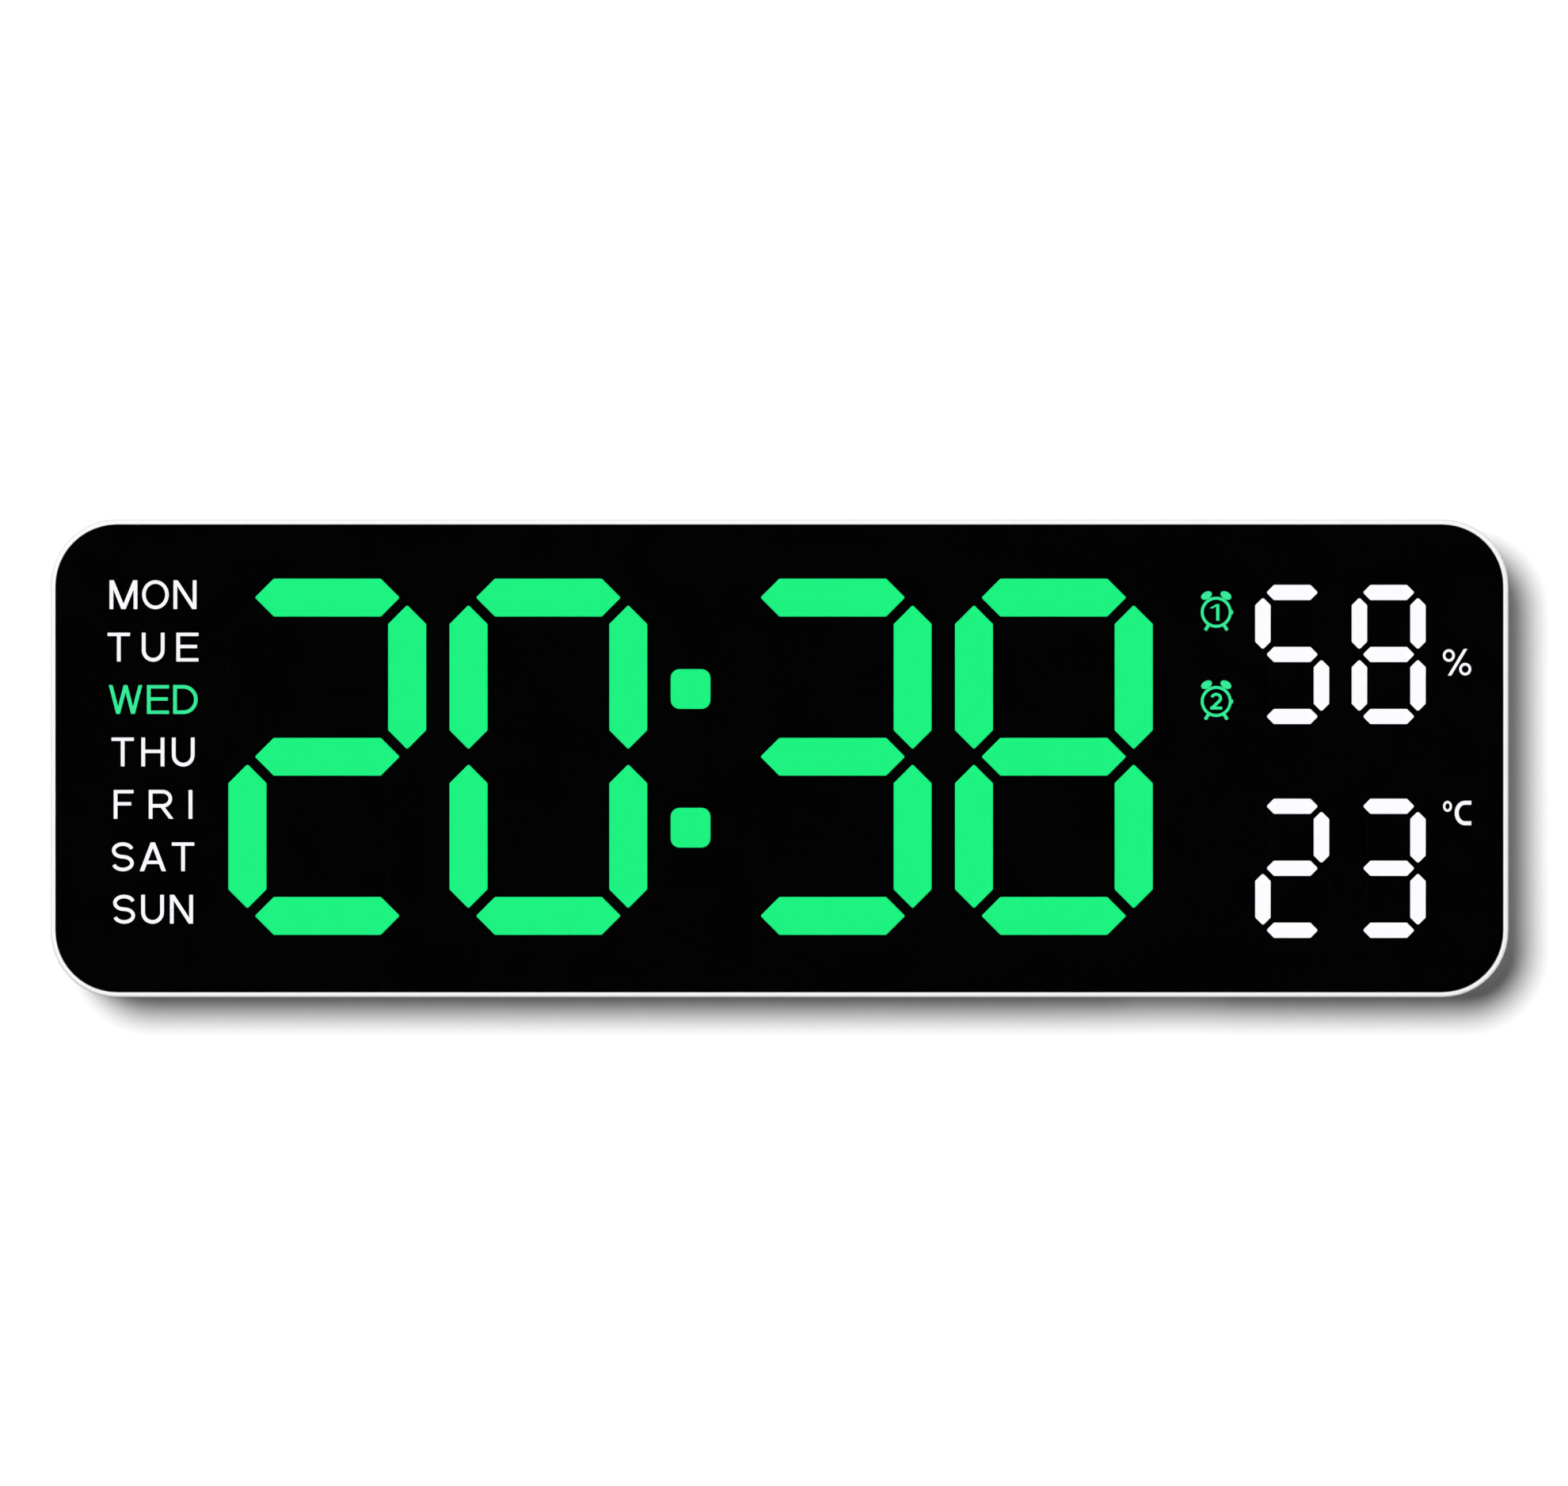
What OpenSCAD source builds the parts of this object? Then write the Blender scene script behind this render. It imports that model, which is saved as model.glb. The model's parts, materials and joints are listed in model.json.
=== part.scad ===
// Digital wall clock: a lit seven-segment display behind a smoked lens, in a slim white case.
// X runs to the right seen from the front, Y from the front to the back, and Z up.
// The origin is the middle of the footprint, on the underside of the case.

/* [Case] */
// Width of the case
body_w = 228; // [205:0.5:250]
// Height of the case
body_h = 74.7; // [74:0.1:90]
// Depth of the case
body_d = 26; // [25.5:0.5:34]
// Radius of the case corners, seen from the front
corner_r = 10.4; // [8:0.1:14]
// Thickness of the case walls
wall = 2; // [1.8:0.1:2.4]
// Depth of the front frame, from the rim to the parting line
frame_depth = 17; // [16:0.5:18]
// Radius of the rounded front edge of the rim
front_edge_r = 0.45; // [0.2:0.05:0.6]
// Radius of the rounded rear edge of the case
rear_edge_r = 1.5; // [0.8:0.1:1.8]
// Thickness of the rear wall
back_t = 2; // [1.8:0.1:2.6]
// Width of the tongue on the rear cover that nests in the front frame
tongue_t = 0.9; // [0.7:0.05:1]
// Height of that tongue
tongue_h = 2; // [1.5:0.1:3]
// Clearance around the tongue and between nested case pieces
case_gap = 0.1; // [0.05:0.05:0.2]
// Width and depth of the groove at the parting line
seam = 0.3; // [0.1:0.05:0.4]

/* [Front lens] */
// Width of the white rim around the lens
rim_w = 0.75; // [0.65:0.05:1]
// Height of the rim above the lens
rim_proud = 0.3; // [0.1:0.05:0.6]
// Thickness of the lens
lens_t = 2; // [1.5:0.1:2.5]
// Clearance between the lens and the rim
lens_gap = 0.1; // [0.05:0.05:0.2]
// Thickness of the adhesive tape that holds the lens and the film
tape_t = 0.2; // [0.1:0.05:0.4]
// Width of that tape
tape_w = 1.8; // [1.2:0.1:2]
// How far the lens ledge reaches in from the outside of the case
ledge_reach = 3.2; // [3:0.1:3.8]
// Thickness of the lens ledge
ledge_t = 1.2; // [0.8:0.1:1.8]

/* [Display stack] */
// Clear glue line between the lens and the mask film
print_gap = 0.12; // [0.1:0.02:0.2]
// Thickness of the mask film
mask_t = 0.3; // [0.2:0.05:0.5]
// Depth of the reflector block behind the film
reflector_t = 5.9; // [5.4:0.1:7]
// Depth of a light guide
guide_t = 3; // [2.4:0.1:3.6]
// Clearance around a light guide
guide_gap = 0.05; // [0.03:0.01:0.08]
// Width of the step that a light guide seats on
guide_seat = 0.5; // [0.3:0.05:0.55]
// Clearance between the display stack and the case
stack_gap = 0.4; // [0.3:0.05:0.6]

/* [Time digits] */
// Hours and minutes on the display
shown_time = [2, 0, 3, 8]; // [0:1:9]
// Gap between the weekday words and the time digits
day_gap = 4.7; // [3:0.1:6]
// Gap between the two digits of a pair
digit_gap = 3.7; // [2.5:0.1:5]
// Gap between the hours and the minutes, where the colon is
pair_gap = 13.6; // [11:0.1:16]
// Gap between the time digits and the alarm signs
alarm_gap = 7.3; // [5:0.1:9]
// Height of a time digit between the middles of its top and bottom segments
digit_h = 49.8; // [44:0.1:51]
// Thickness of a time segment
seg_t = 5.9; // [4.5:0.1:6.4]
// Distance from the tip of a time segment to the corner of its digit
seg_tip = 1.3; // [1.1:0.05:1.8]
// Half width of the blunt tip of a time segment
seg_blunt = 0.1; // [0.05:0.05:0.4]
// Place of the digits above the middle of the case
time_z = 0.25; // [-0.5:0.05:0.5]
// Side of a colon dot
dot_side = 6.2; // [4:0.1:7]
// Radius of the corners of a colon dot
dot_r = 1.4; // [0.5:0.1:1.9]
// Distance between the colon dots
dot_pitch = 21.7; // [14:0.1:26]

/* [Small digits] */
// Humidity on the display
shown_humidity = [5, 8]; // [0:1:9]
// Temperature on the display
shown_temperature = [2, 3]; // [0:1:9]
// Width of a small digit between the middles of its upright segments
small_w = 9.16; // [8.5:0.02:9.6]
// Height of a small digit between the middles of its top and bottom segments
small_h = 19.4; // [17:0.1:20]
// Thickness of a small segment
small_t = 2.35; // [2.2:0.05:2.6]
// Distance from the tip of a level small segment to the corner of its digit
small_tip = 0.7; // [0.65:0.05:0.95]
// Distance from the tip of an upright small segment to the corner of its digit
small_tip_up = 0.95; // [0.7:0.05:1]
// Half width of the blunt tip of a small segment
small_blunt = 0.12; // [0.1:0.02:0.5]
// Distance between the two small digits of a pair
small_pitch = 15.1; // [14:0.1:15.6]
// Distance from the right side of the case to the middle of the small digits
small_inset = 26.2; // [25.5:0.1:27]
// Place of the humidity digits above the middle of the case
humidity_z = 16.25; // [15:0.05:17]
// Place of the temperature digits above the middle of the case
temperature_z = -17.2; // [-18:0.05:-15]

/* [Legends] */
// Number of weekday words
day_count = 7; // [5:1:7]
// Distance between the weekday words
day_pitch = 8.2; // [7.8:0.05:8.4]
// Distance from the left side of the case to the middle of the words
day_inset = 16; // [15.5:0.1:17]
// Place of the middle word above the middle of the case
day_z = 1; // [0:0.1:1.5]
// Width of the diffuser behind a weekday word
day_window_w = 14.2; // [13.5:0.1:15]
// Height of the diffuser behind a weekday word
day_window_h = 5.6; // [5:0.1:6.4]
// Distance from the right side of the case to the middle of the alarm signs
alarm_inset = 45.6; // [45:0.1:46.5]
// Place of the upper alarm sign above the middle of the case
alarm_high_z = 23; // [21:0.1:25]
// Place of the lower alarm sign above the middle of the case
alarm_low_z = 9; // [7:0.1:11]
// Width of the diffuser behind an alarm sign
alarm_window_w = 5.4; // [5:0.1:6]
// Height of the diffuser behind an alarm sign
alarm_window_h = 6.8; // [6.4:0.1:8]
// Distance from the right side of the case to the middle of the unit signs
unit_inset = 8; // [7.6:0.1:8.6]
// Place of the percent sign above the middle of the case
percent_z = 15; // [13:0.1:17]
// Place of the degree sign above the middle of the case
degree_z = -8.5; // [-11:0.1:-6]
// Side of the diffuser behind a unit sign
unit_window = 4.8; // [4.4:0.1:5.2]

/* [Circuit board] */
// Thickness of the main board
board_t = 1.6; // [1.2:0.1:2]
// Width of an LED for the time digits
time_led_w = 2.8; // [2:0.1:3]
// Length of an LED for the time digits
time_led_l = 3.5; // [3:0.1:3.6]
// Thickness of an LED for the time digits
time_led_t = 0.8; // [0.6:0.1:1.2]
// Distance of a time LED from the end of its well
led_margin = 1.2; // [0.5:0.1:1.6]
// Width of an LED for the small digits and the legends
small_led_w = 0.8; // [0.6:0.1:1]
// Length of an LED for the small digits and the legends
small_led_l = 1.6; // [1.2:0.1:2]
// Thickness of an LED for the small digits and the legends
small_led_t = 0.6; // [0.4:0.1:0.8]
// Side of the controller chip
controller_side = 10; // [7:0.5:12]
// Thickness of the controller chip
controller_t = 1.6; // [1:0.1:2]
// Length of a driver chip
driver_l = 15.4; // [10:0.2:18]
// Width of a driver chip
driver_w = 7.5; // [4:0.5:8]
// Thickness of a driver chip
driver_t = 2.2; // [1.6:0.1:2.6]
// Reach of a chip's legs beyond its body
chip_leg = 1; // [0.6:0.1:1.4]
// Radius of the buzzer
buzzer_r = 6; // [4.5:0.1:6.5]
// Height of the buzzer
buzzer_h = 7; // [5:0.5:8]
// Radius of a capacitor
capacitor_r = 3.1; // [2.5:0.1:4]
// Height of a capacitor
capacitor_h = 7.7; // [5:0.1:10]
// Width of the climate sensor
sensor_w = 8; // [6:0.5:9]
// Height of the climate sensor
sensor_h = 10; // [7:0.5:12]
// Thickness of the climate sensor
sensor_t = 3; // [2:0.1:4]

/* [Case screws] */
// Distance of a case screw from the side of the case
screw_inset = 4.5; // [4.4:0.1:4.8]
// Distance of a case screw from the top or the bottom of the case
screw_drop = 13; // [12:0.1:15]
// Radius of a case screw's shank
screw_r = 1.1; // [0.9:0.05:1.2]
// Radius of a case screw's head
screw_head_r = 2.1; // [1.8:0.05:2.3]
// Height of a case screw's head
screw_head_h = 1.7; // [1.2:0.1:2]
// Length of a case screw's shank
screw_l = 9; // [7:0.5:9.5]
// Radius of the boss on the front frame
boss_r = 2.6; // [2.4:0.1:2.9]
// Radius of the column on the rear cover
column_r = 3.3; // [3:0.1:3.5]
// Clearance between a screw and its hole
screw_gap = 0.2; // [0.1:0.05:0.3]
// Radius of a board screw's shank
board_screw_r = 0.8; // [0.6:0.05:1]
// Radius of a board screw's head
board_screw_head_r = 1.6; // [1.3:0.1:1.8]
// Height of a board screw's head
board_screw_head_h = 1.2; // [0.8:0.1:1.6]
// Length of a board screw's shank
board_screw_l = 5; // [4:0.2:6]
// Places of the board screws across the case
board_screw_x = [-86, 0, 60]; // [-90:1:90]
// Distance of a board screw from the top or the bottom of the case
board_screw_drop = 6.2; // [5.6:0.1:6.6]

/* [Keyholes] */
// Distance between the keyholes
key_pitch = 160; // [150:1:168]
// Place of a keyhole's round entry above the middle of the case
key_z = 19.6; // [19.2:0.1:20.5]
// Radius of the round entry
key_r = 4; // [3.5:0.1:4.5]
// Width of the keyhole's slot
key_slot_w = 4.4; // [4.2:0.1:5]
// Length of the slot above the entry
key_slot_l = 8; // [6:0.5:8.5]
// Depth of the pocket behind a keyhole
key_depth = 6; // [4.5:0.5:7]
// Room around the keyhole in that pocket
key_room = 1.2; // [0.8:0.1:1.4]
// Thickness of the thin inner walls of the rear cover
inner_wall = 1.2; // [1:0.1:1.4]

/* [Battery] */
// Number of cells
cell_count = 3; // [2:1:3]
// Diameter of a cell
cell_d = 10.5; // [10:0.1:10.5]
// Length of a cell with its nub
cell_l = 44.5; // [43:0.1:44.5]
// Radius of a cell's nub
nub_r = 1.9; // [1.5:0.1:2.7]
// Length of a cell's nub
nub_l = 0.8; // [0.8:0.1:1.4]
// Gap between cells
cell_gap = 0.5; // [0.4:0.1:0.8]
// Gap between a cell and the battery box
cell_room = 0.4; // [0.3:0.1:0.6]
// Length of a contact spring
spring_l = 4.2; // [3.8:0.1:5]
// Radius of a contact spring at its plate
spring_plate_r = 3.2; // [2.8:0.1:3.6]
// Radius of a contact spring at its cell
spring_cell_r = 2.2; // [1.8:0.1:2.6]
// Diameter of the spring wire
spring_wire = 0.5; // [0.4:0.05:0.6]
// Number of curls of a contact spring
spring_turns = 3.5; // [2.5:0.5:3.5]
// Thickness of a contact plate
contact_t = 0.4; // [0.3:0.05:0.6]
// Side of a contact plate
contact_side = 8; // [7:0.1:9]
// Place of the battery box across the case
battery_x = -57; // [-58:0.5:-55]
// Place of the battery box above the middle of the case
battery_z = -5.3; // [-6:0.1:-5]
// Thickness of the walls of the battery box
battery_wall = 2.2; // [2:0.1:2.6]
// Thickness of the battery door
door_t = 1.6; // [1.4:0.1:1.8]
// Width of the ledge that the door rests on
door_ledge = 1; // [0.8:0.1:1.2]
// Gap around the battery door
door_gap = 0.25; // [0.2:0.05:0.4]
// Width of a tab that the door swings on
tab_w = 6; // [4:0.5:8]
// Thickness of such a tab
tab_t = 1.2; // [1:0.1:1.4]
// Reach of such a tab beyond the door
tab_l = 2; // [1.6:0.1:2.4]
// Distance of a tab from the middle of the door
tab_place = 15; // [10:0.5:18]

/* [Stand] */
// Width of the stand leg
leg_w = 36; // [30:0.5:38]
// Length of the leg from its hinge to its tip
leg_l = 46; // [40:0.5:48]
// Thickness of the leg
leg_t = 3; // [2.4:0.1:3.6]
// Height of the folded leg's tip above the underside of the case
leg_foot = 3; // [2.6:0.1:4]
// Radius of the barrel around the hinge pin
barrel_r = 2.2; // [2:0.1:2.6]
// Radius of the hinge pin
pin_r = 1; // [0.8:0.05:1.2]
// Running clearance of the leg on its pin
pin_run = 0.05; // [0.02:0.01:0.08]
// Gap around the folded leg
leg_gap = 0.4; // [0.3:0.05:0.6]
// Depth of the folded leg below the rear wall
leg_sink = 0.3; // [0.2:0.05:0.5]
// Angle of the open leg
leg_open = 30; // [20:1:35]
// Radius of the finger notch in the tip of the leg
notch_r = 7; // [6:0.5:9]
// Radius of the lower corners of the leg
leg_corner = 4; // [2:0.5:5]
// Depth of a rubber pad on the tip of the leg
pad_t = 1.6; // [1:0.1:2]
// Height of a rubber pad
pad_h = 2.4; // [1.6:0.1:3]
// Distance of a rubber pad from the notch and from the corner of the leg
pad_margin = 0.7; // [0.4:0.1:1]
// Thickness of the side walls of the stand recess
ear_t = 2.4; // [2:0.1:3]

/* [Buttons] */
// Place of the middle of the button row across the case
button_x = 62; // [60:0.5:64]
// Place of the button row above the middle of the case
button_z = 4.6; // [4:0.1:5.5]
// Distance between the buttons
button_pitch = 14; // [12:0.5:15]
// Radius of a button cap
cap_r = 3.8; // [3.2:0.1:4.2]
// Gap between a cap and its hole
cap_gap = 0.25; // [0.2:0.05:0.4]
// Depth of a cap below the rear wall
cap_sink = 0.3; // [0.2:0.05:0.6]
// Reach of the flange that keeps a button in, beyond its cap
flange_reach = 1.2; // [0.7:0.1:1.4]
// Thickness of that flange
flange_t = 1; // [0.8:0.1:1.4]
// Radius of a button's stem
stem_r = 2; // [1.6:0.1:2.4]
// Travel of a button
button_travel = 0.5; // [0.3:0.05:0.6]
// Side of a tact switch
switch_side = 6; // [5:0.5:7]
// Height of a tact switch
switch_h = 3.5; // [3.2:0.1:4.3]
// Radius of a switch plunger
plunger_r = 1.7; // [1.4:0.1:1.8]
// Height of a switch plunger above the switch
plunger_h = 2; // [1.2:0.1:2.5]

/* [Power inlet] */
// Place of the plug recess across the case
inlet_x = 62; // [60:0.5:63]
// Width of the plug recess
inlet_w = 16; // [14:0.5:17]
// Height of the plug recess above the underside of the case
inlet_h = 22; // [19:0.5:22]
// Depth of the plug recess
inlet_depth = 8; // [7.5:0.1:8.4]
// Width of the socket shell
shell_w = 8.94; // [8.5:0.02:9.5]
// Depth of the socket shell
shell_d = 3.2; // [3:0.05:3.3]
// Length of the socket shell
shell_l = 7.3; // [6.5:0.1:8]
// Thickness of the socket shell
shell_t = 0.3; // [0.2:0.05:0.4]
// Width of the socket's tongue
blade_w = 6.7; // [6:0.1:7]
// Thickness of the socket's tongue
blade_t = 0.7; // [0.5:0.05:0.8]
// Length of the socket's tongue
blade_l = 4.1; // [3.6:0.1:4.3]
// Depth of the middle of the socket below the rear face
socket_sink = 3.8; // [3.7:0.1:4.2]
// Thickness of the inlet board
inlet_board_t = 1.2; // [1:0.1:1.4]
// Width of the inlet board
inlet_board_w = 14; // [12:0.5:15]
// Height of the inlet board
inlet_board_h = 12.4; // [11.5:0.1:13]

/* [Vents] */
// Number of slots in a vent
vent_count = 5; // [3:1:6]
// Distance between the slots
vent_pitch = 3; // [2.6:0.1:3.4]
// Width of a slot
slot_w = 1.4; // [1:0.1:1.8]
// Length of a slot
slot_l = 9; // [6:0.5:10]

/* [Hidden] */
$fn = 48;
// A small overlap that joins solids and lets cuts run clear of a face
lap = 0.5;

// Depths of the display stack, from the front to the back
front_y = -body_d / 2;
back_y = body_d / 2;
lens_front = front_y + rim_proud;
lens_back = lens_front + lens_t;
mask_front = lens_back + print_gap;
mask_back = mask_front + mask_t;
ledge_front = mask_back + tape_t;
ledge_back = ledge_front + ledge_t;
guide_back = mask_front + guide_t;
board_front = mask_back + reflector_t;
board_back = board_front + board_t;
split_y = front_y + frame_depth;
inside_y = back_y - back_t;
// Width of the rear wall's outer band, which is drawn with the side walls
rim_band = corner_r / 2;

// Places of the display: the time digits take the room between the weekday words and the alarm signs
lens_inset = rim_w + lens_gap;
day_x = day_inset - body_w / 2;
alarm_x = body_w / 2 - alarm_inset;
time_left = day_x + day_window_w / 2 + day_gap;
time_right = alarm_x - alarm_window_w / 2 - alarm_gap;
time_x = (time_left + time_right) / 2;
pair_room = (time_right - time_left - pair_gap) / 2;
digit_room = (pair_room - digit_gap) / 2;
digit_w = digit_room - seg_t;
digit_pitch = digit_room + digit_gap;
pair_reach = (pair_gap + pair_room) / 2;
time_places = [for (pair = [-1, 1], side = [-1, 1])
  [time_x + pair * pair_reach + side * digit_pitch / 2, time_z]];
small_x = body_w / 2 - small_inset;
humidity_places = [for (side = [-1, 1]) [small_x + side * small_pitch / 2, humidity_z]];
temperature_places = [for (side = [-1, 1]) [small_x + side * small_pitch / 2, temperature_z]];
dot_places = [for (side = [-1, 1]) [time_x, side * dot_pitch / 2]];
day_places = [for (i = [0 : day_count - 1])
  [day_x, day_z + (i - (day_count - 1) / 2) * day_pitch]];
alarm_places = [for (z = [alarm_high_z, alarm_low_z]) [alarm_x, z]];
unit_places = [for (z = [percent_z, degree_z]) [body_w / 2 - unit_inset, z]];

// Segments that are lit for each digit from 0 to 9
LIT = ["abcdef", "bc", "abdeg", "abcdg", "bcfg", "acdfg", "acdefg", "abc", "abcdefg", "abcdfg"];
SEGMENTS = "abcdefg";

// Places of the screws and keyholes
case_screws_xz = [for (x = [-1, 1], z = [-1, 1])
  [x * (body_w / 2 - screw_inset), z * (body_h / 2 - screw_drop)]];
board_screws_xz = [for (x = board_screw_x, z = [-1, 1]) [x, z * (body_h / 2 - board_screw_drop)]];
key_places = [for (x = [-1, 1]) [x * key_pitch / 2, key_z]];
screw_tip_room = 0.6;
screw_seat = ledge_back + screw_tip_room + screw_l;
head_room = 0.3;
boss_rib = 2;
// Width and length of the cross in a screw's head, as shares of the head's radius
cross_share = [0.33, 1.3];

// Battery box
cell_pitch = cell_d + cell_gap;
battery_in = [cell_l + spring_l + 2 * contact_t,
  cell_count * cell_d + (cell_count - 1) * cell_gap + 2 * cell_room];
battery_out = [for (side = battery_in) side + 2 * battery_wall];
door_size = [for (side = battery_in) side + 2 * door_ledge];
door_r = 1.5;
cell_y = back_y - door_t - cell_room - cell_d / 2;
battery_floor = cell_y - cell_d / 2 - case_gap;
tab_front = inside_y - case_gap - tab_t;
tab_r = back_y - tab_front;
tab_swing = tab_r + cell_room;
terminal = [2.4, 0.5];
terminal_out = 1.5;

// Stand
hinge_y = back_y - leg_sink - barrel_r;
hinge_z = leg_foot + leg_l - body_h / 2;
stop_w = leg_w / 2;
stop_reach = barrel_r + leg_gap;
stop_depth = (stop_reach - stop_reach * sin(leg_open)) / cos(leg_open) - pin_run;
recess_top = hinge_z + stop_reach + leg_gap / 2;
recess_bottom = hinge_z - leg_l - leg_gap;
recess_w = leg_w + 2 * leg_gap;
recess_floor = hinge_y - stop_reach;
pin_l = recess_w + 2 * ear_t - 2 * case_gap;
leg_back = back_y - leg_sink;
pad_w = leg_w / 2 - leg_corner - notch_r - 2 * pad_margin;
pad_x = (notch_r + leg_w / 2 - leg_corner) / 2;

// Buttons
button_count = 4;
button_places = [for (i = [0 : button_count - 1])
  [button_x + (i - (button_count - 1) / 2) * button_pitch, button_z]];
switch_back = board_back + switch_h;
plunger_back = switch_back + plunger_h;
plunger_bite = 1;
plunger_spare = 1.1;
plunger_well = plunger_bite + button_travel + plunger_spare;

// Power inlet
inlet_floor = back_y - inlet_depth;
inlet_top = inlet_h - body_h / 2;
socket_y = back_y - socket_sink;
inlet_board_back = socket_y - shell_d / 2;
inlet_board_front = inlet_board_back - inlet_board_t;
inlet_board_low = inlet_top + inner_wall + case_gap;
stake_inset = [1.8, 2.2];
stake_z = inlet_board_low + inlet_board_h - stake_inset[1];
stake_places = [for (side = [-1, 1])
  [inlet_x + side * (inlet_board_w / 2 - stake_inset[0]), stake_z]];
stake_r = 0.7;
stake_shoulder_r = 1.4;

// Places of the board's parts, across the case and above its middle
controller_xz = [0, -8];
controller_legs = 8;
chip_leg_w = 0.4;
chip_leg_t = 0.4;
driver_places = [[-14, 22], [14, 22]];
driver_legs = 10;
crystal_xz = [14, -8];
buzzer_xz = [36, -22];
capacitor_places = [[34, 24], [44, 24]];
resistor_rows = [-20, -25];
sensor_inset = 17;
sensor_xz = [body_w / 2 - sensor_inset, -10];
lead_socket_xz = [-24, -20];
lead_socket_size = [6, 4.5, 6];

// Leads: wire diameter and the points that each wire runs through
lead_d = 1.2;
lead_sides = 8;
lead_steps = 3;
lead_straight = 1.4;
cell_low_z = battery_z - (cell_count - 1) * cell_pitch / 2;
cell_high_z = battery_z + (cell_count - 1) * cell_pitch / 2;
terminal_left_x = battery_x - battery_out[0] / 2 - terminal_out;
terminal_right_x = battery_x + battery_out[0] / 2 + terminal_out;
lead_end_y = board_back + lead_socket_size[2];
lead_end_z = lead_socket_xz[1];
red_end_x = lead_socket_xz[0] - lead_d;
black_end_x = lead_socket_xz[0] + lead_d;
battery_red = [
  [terminal_left_x, cell_y, cell_low_z], [terminal_left_x - lead_straight, cell_y, cell_low_z],
  [-88.4, 4.6, -18.4],
  [-88, 3.2, -22], [-85.5, 2.6, -26], [-80, 2.4, -28], [-66, 2.4, -28.6], [-50, 2.4, -28.6],
  [-37, 3, -28.4], [-29, 4.4, -26.6], [-26.6, 6.2, -24], [-25.4, 6.6, -21.6],
  [red_end_x, 5.6, lead_end_z], [red_end_x, 4.4, lead_end_z], [red_end_x, lead_end_y, lead_end_z]
];
battery_black = [
  [terminal_right_x, cell_y, cell_high_z], [terminal_right_x + lead_straight, cell_y, cell_high_z],
  [-25.4, 5.4, 3.6],
  [-24.2, 5.6, -2], [-23.2, 6, -10], [-22.8, 6.4, -16], [-22.8, 6.3, -18.6],
  [black_end_x, 5.4, lead_end_z], [black_end_x, 4.4, lead_end_z], [black_end_x, lead_end_y, lead_end_z]
];
inlet_red = [
  [58, inlet_board_front, -6], [58, inlet_board_front - lead_straight, -6], [56.6, 2.6, -6.4],
  [53, 0.9, -7.8], [49.4, 0, -8.8], [48, board_back + lead_straight, -9.2], [48, board_back, -9.2]
];
inlet_black = [
  [62, inlet_board_front, -6], [62, inlet_board_front - lead_straight, -6], [60, 2.2, -7.8],
  [55, 0.8, -10.4], [50.6, 0, -11.8], [49.2, board_back + lead_straight, -12.2], [49.2, board_back, -12.2]
];

// Moves a shape from the middle of the case to its place above the underside
module placed() {
  translate([0, 0, body_h / 2]) children();
}

// Extrudes a flat shape, drawn across and up, from one depth to another
module slab(y0, y1) {
  translate([0, y1, 0]) rotate([90, 0, 0]) linear_extrude(y1 - y0) children();
}

module rounded_rect(w, h, r) {
  square([w - 2 * r, h], center = true);
  square([w, h - 2 * r], center = true);
  for (x = [-1, 1], z = [-1, 1])
    translate([x * (w / 2 - r), z * (h / 2 - r)]) circle(r);
}

// Outline of the case, a distance in from its sides
module case_outline(inset) {
  rounded_rect(body_w - 2 * inset, body_h - 2 * inset, corner_r - inset);
}

// Runs a profile, drawn as distance in from the side and depth, all round the case
module round_the_case() {
  for (x = [0, 1]) mirror([x, 0, 0])
    translate([body_w / 2, 0, corner_r - body_h / 2])
      linear_extrude(body_h - 2 * corner_r) mirror([1, 0]) children();
  for (z = [0, 1]) mirror([0, 0, z])
    translate([corner_r - body_w / 2, 0, body_h / 2]) rotate([0, 90, 0])
      linear_extrude(body_w - 2 * corner_r) children();
  for (x = [0, 1], z = [0, 1]) mirror([x, 0, 0]) mirror([0, 0, z])
    translate([body_w / 2 - corner_r, 0, corner_r - body_h / 2]) rotate([-90, 0, 0])
      rotate_extrude(angle = 90) translate([corner_r, 0]) mirror([1, 0]) children();
}

module at(places) {
  for (p = places) translate(p) children();
}

// A segment with pointed ends, made larger all round by grow
module segment(l, t, blunt, grow = 0) {
  end = l / 2 + grow;
  tip = blunt + grow * (sqrt(2) - 1);
  half = t / 2 + grow;
  shoulder = end - half + tip;
  polygon([
    [-end, -tip], [-shoulder, -half], [shoulder, -half], [end, -tip],
    [end, tip], [shoulder, half], [-shoulder, half], [-end, tip]
  ]);
}

// Middle and turn of a segment in a digit of a given width and height
function segment_place(letter, w, h) =
  letter == "a" ? [0, h / 2, 0] :
  letter == "b" ? [w / 2, h / 4, 90] :
  letter == "c" ? [w / 2, -h / 4, 90] :
  letter == "d" ? [0, -h / 2, 0] :
  letter == "e" ? [-w / 2, -h / 4, 90] :
  letter == "f" ? [-w / 2, h / 4, 90] : [0, 0, 0];

function is_lit(letter, value) = len(search(letter, LIT[value])) > 0;
function lit_letters(value) = [for (s = SEGMENTS) if (is_lit(s, value)) s];
function unlit_letters(value) = [for (s = SEGMENTS) if (!is_lit(s, value)) s];

// Draws children at each named segment of a time digit, with the segment's length in $seg_l
module time_digit(letters) {
  for (s = letters) {
    p = segment_place(s, digit_w, digit_h);
    $seg_l = (p[2] == 0 ? digit_w : digit_h / 2) - 2 * seg_tip;
    translate([p[0], p[1]]) rotate(p[2]) children();
  }
}

module small_digit(letters) {
  for (s = letters) {
    p = segment_place(s, small_w, small_h);
    $seg_l = p[2] == 0 ? small_w - 2 * small_tip : small_h / 2 - 2 * small_tip_up;
    translate([p[0], p[1]]) rotate(p[2]) children();
  }
}

module time_segment(grow = 0) {
  segment($seg_l, seg_t, seg_blunt, grow);
}

module small_segment(grow = 0) {
  segment($seg_l, small_t, small_blunt, grow);
}

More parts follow.
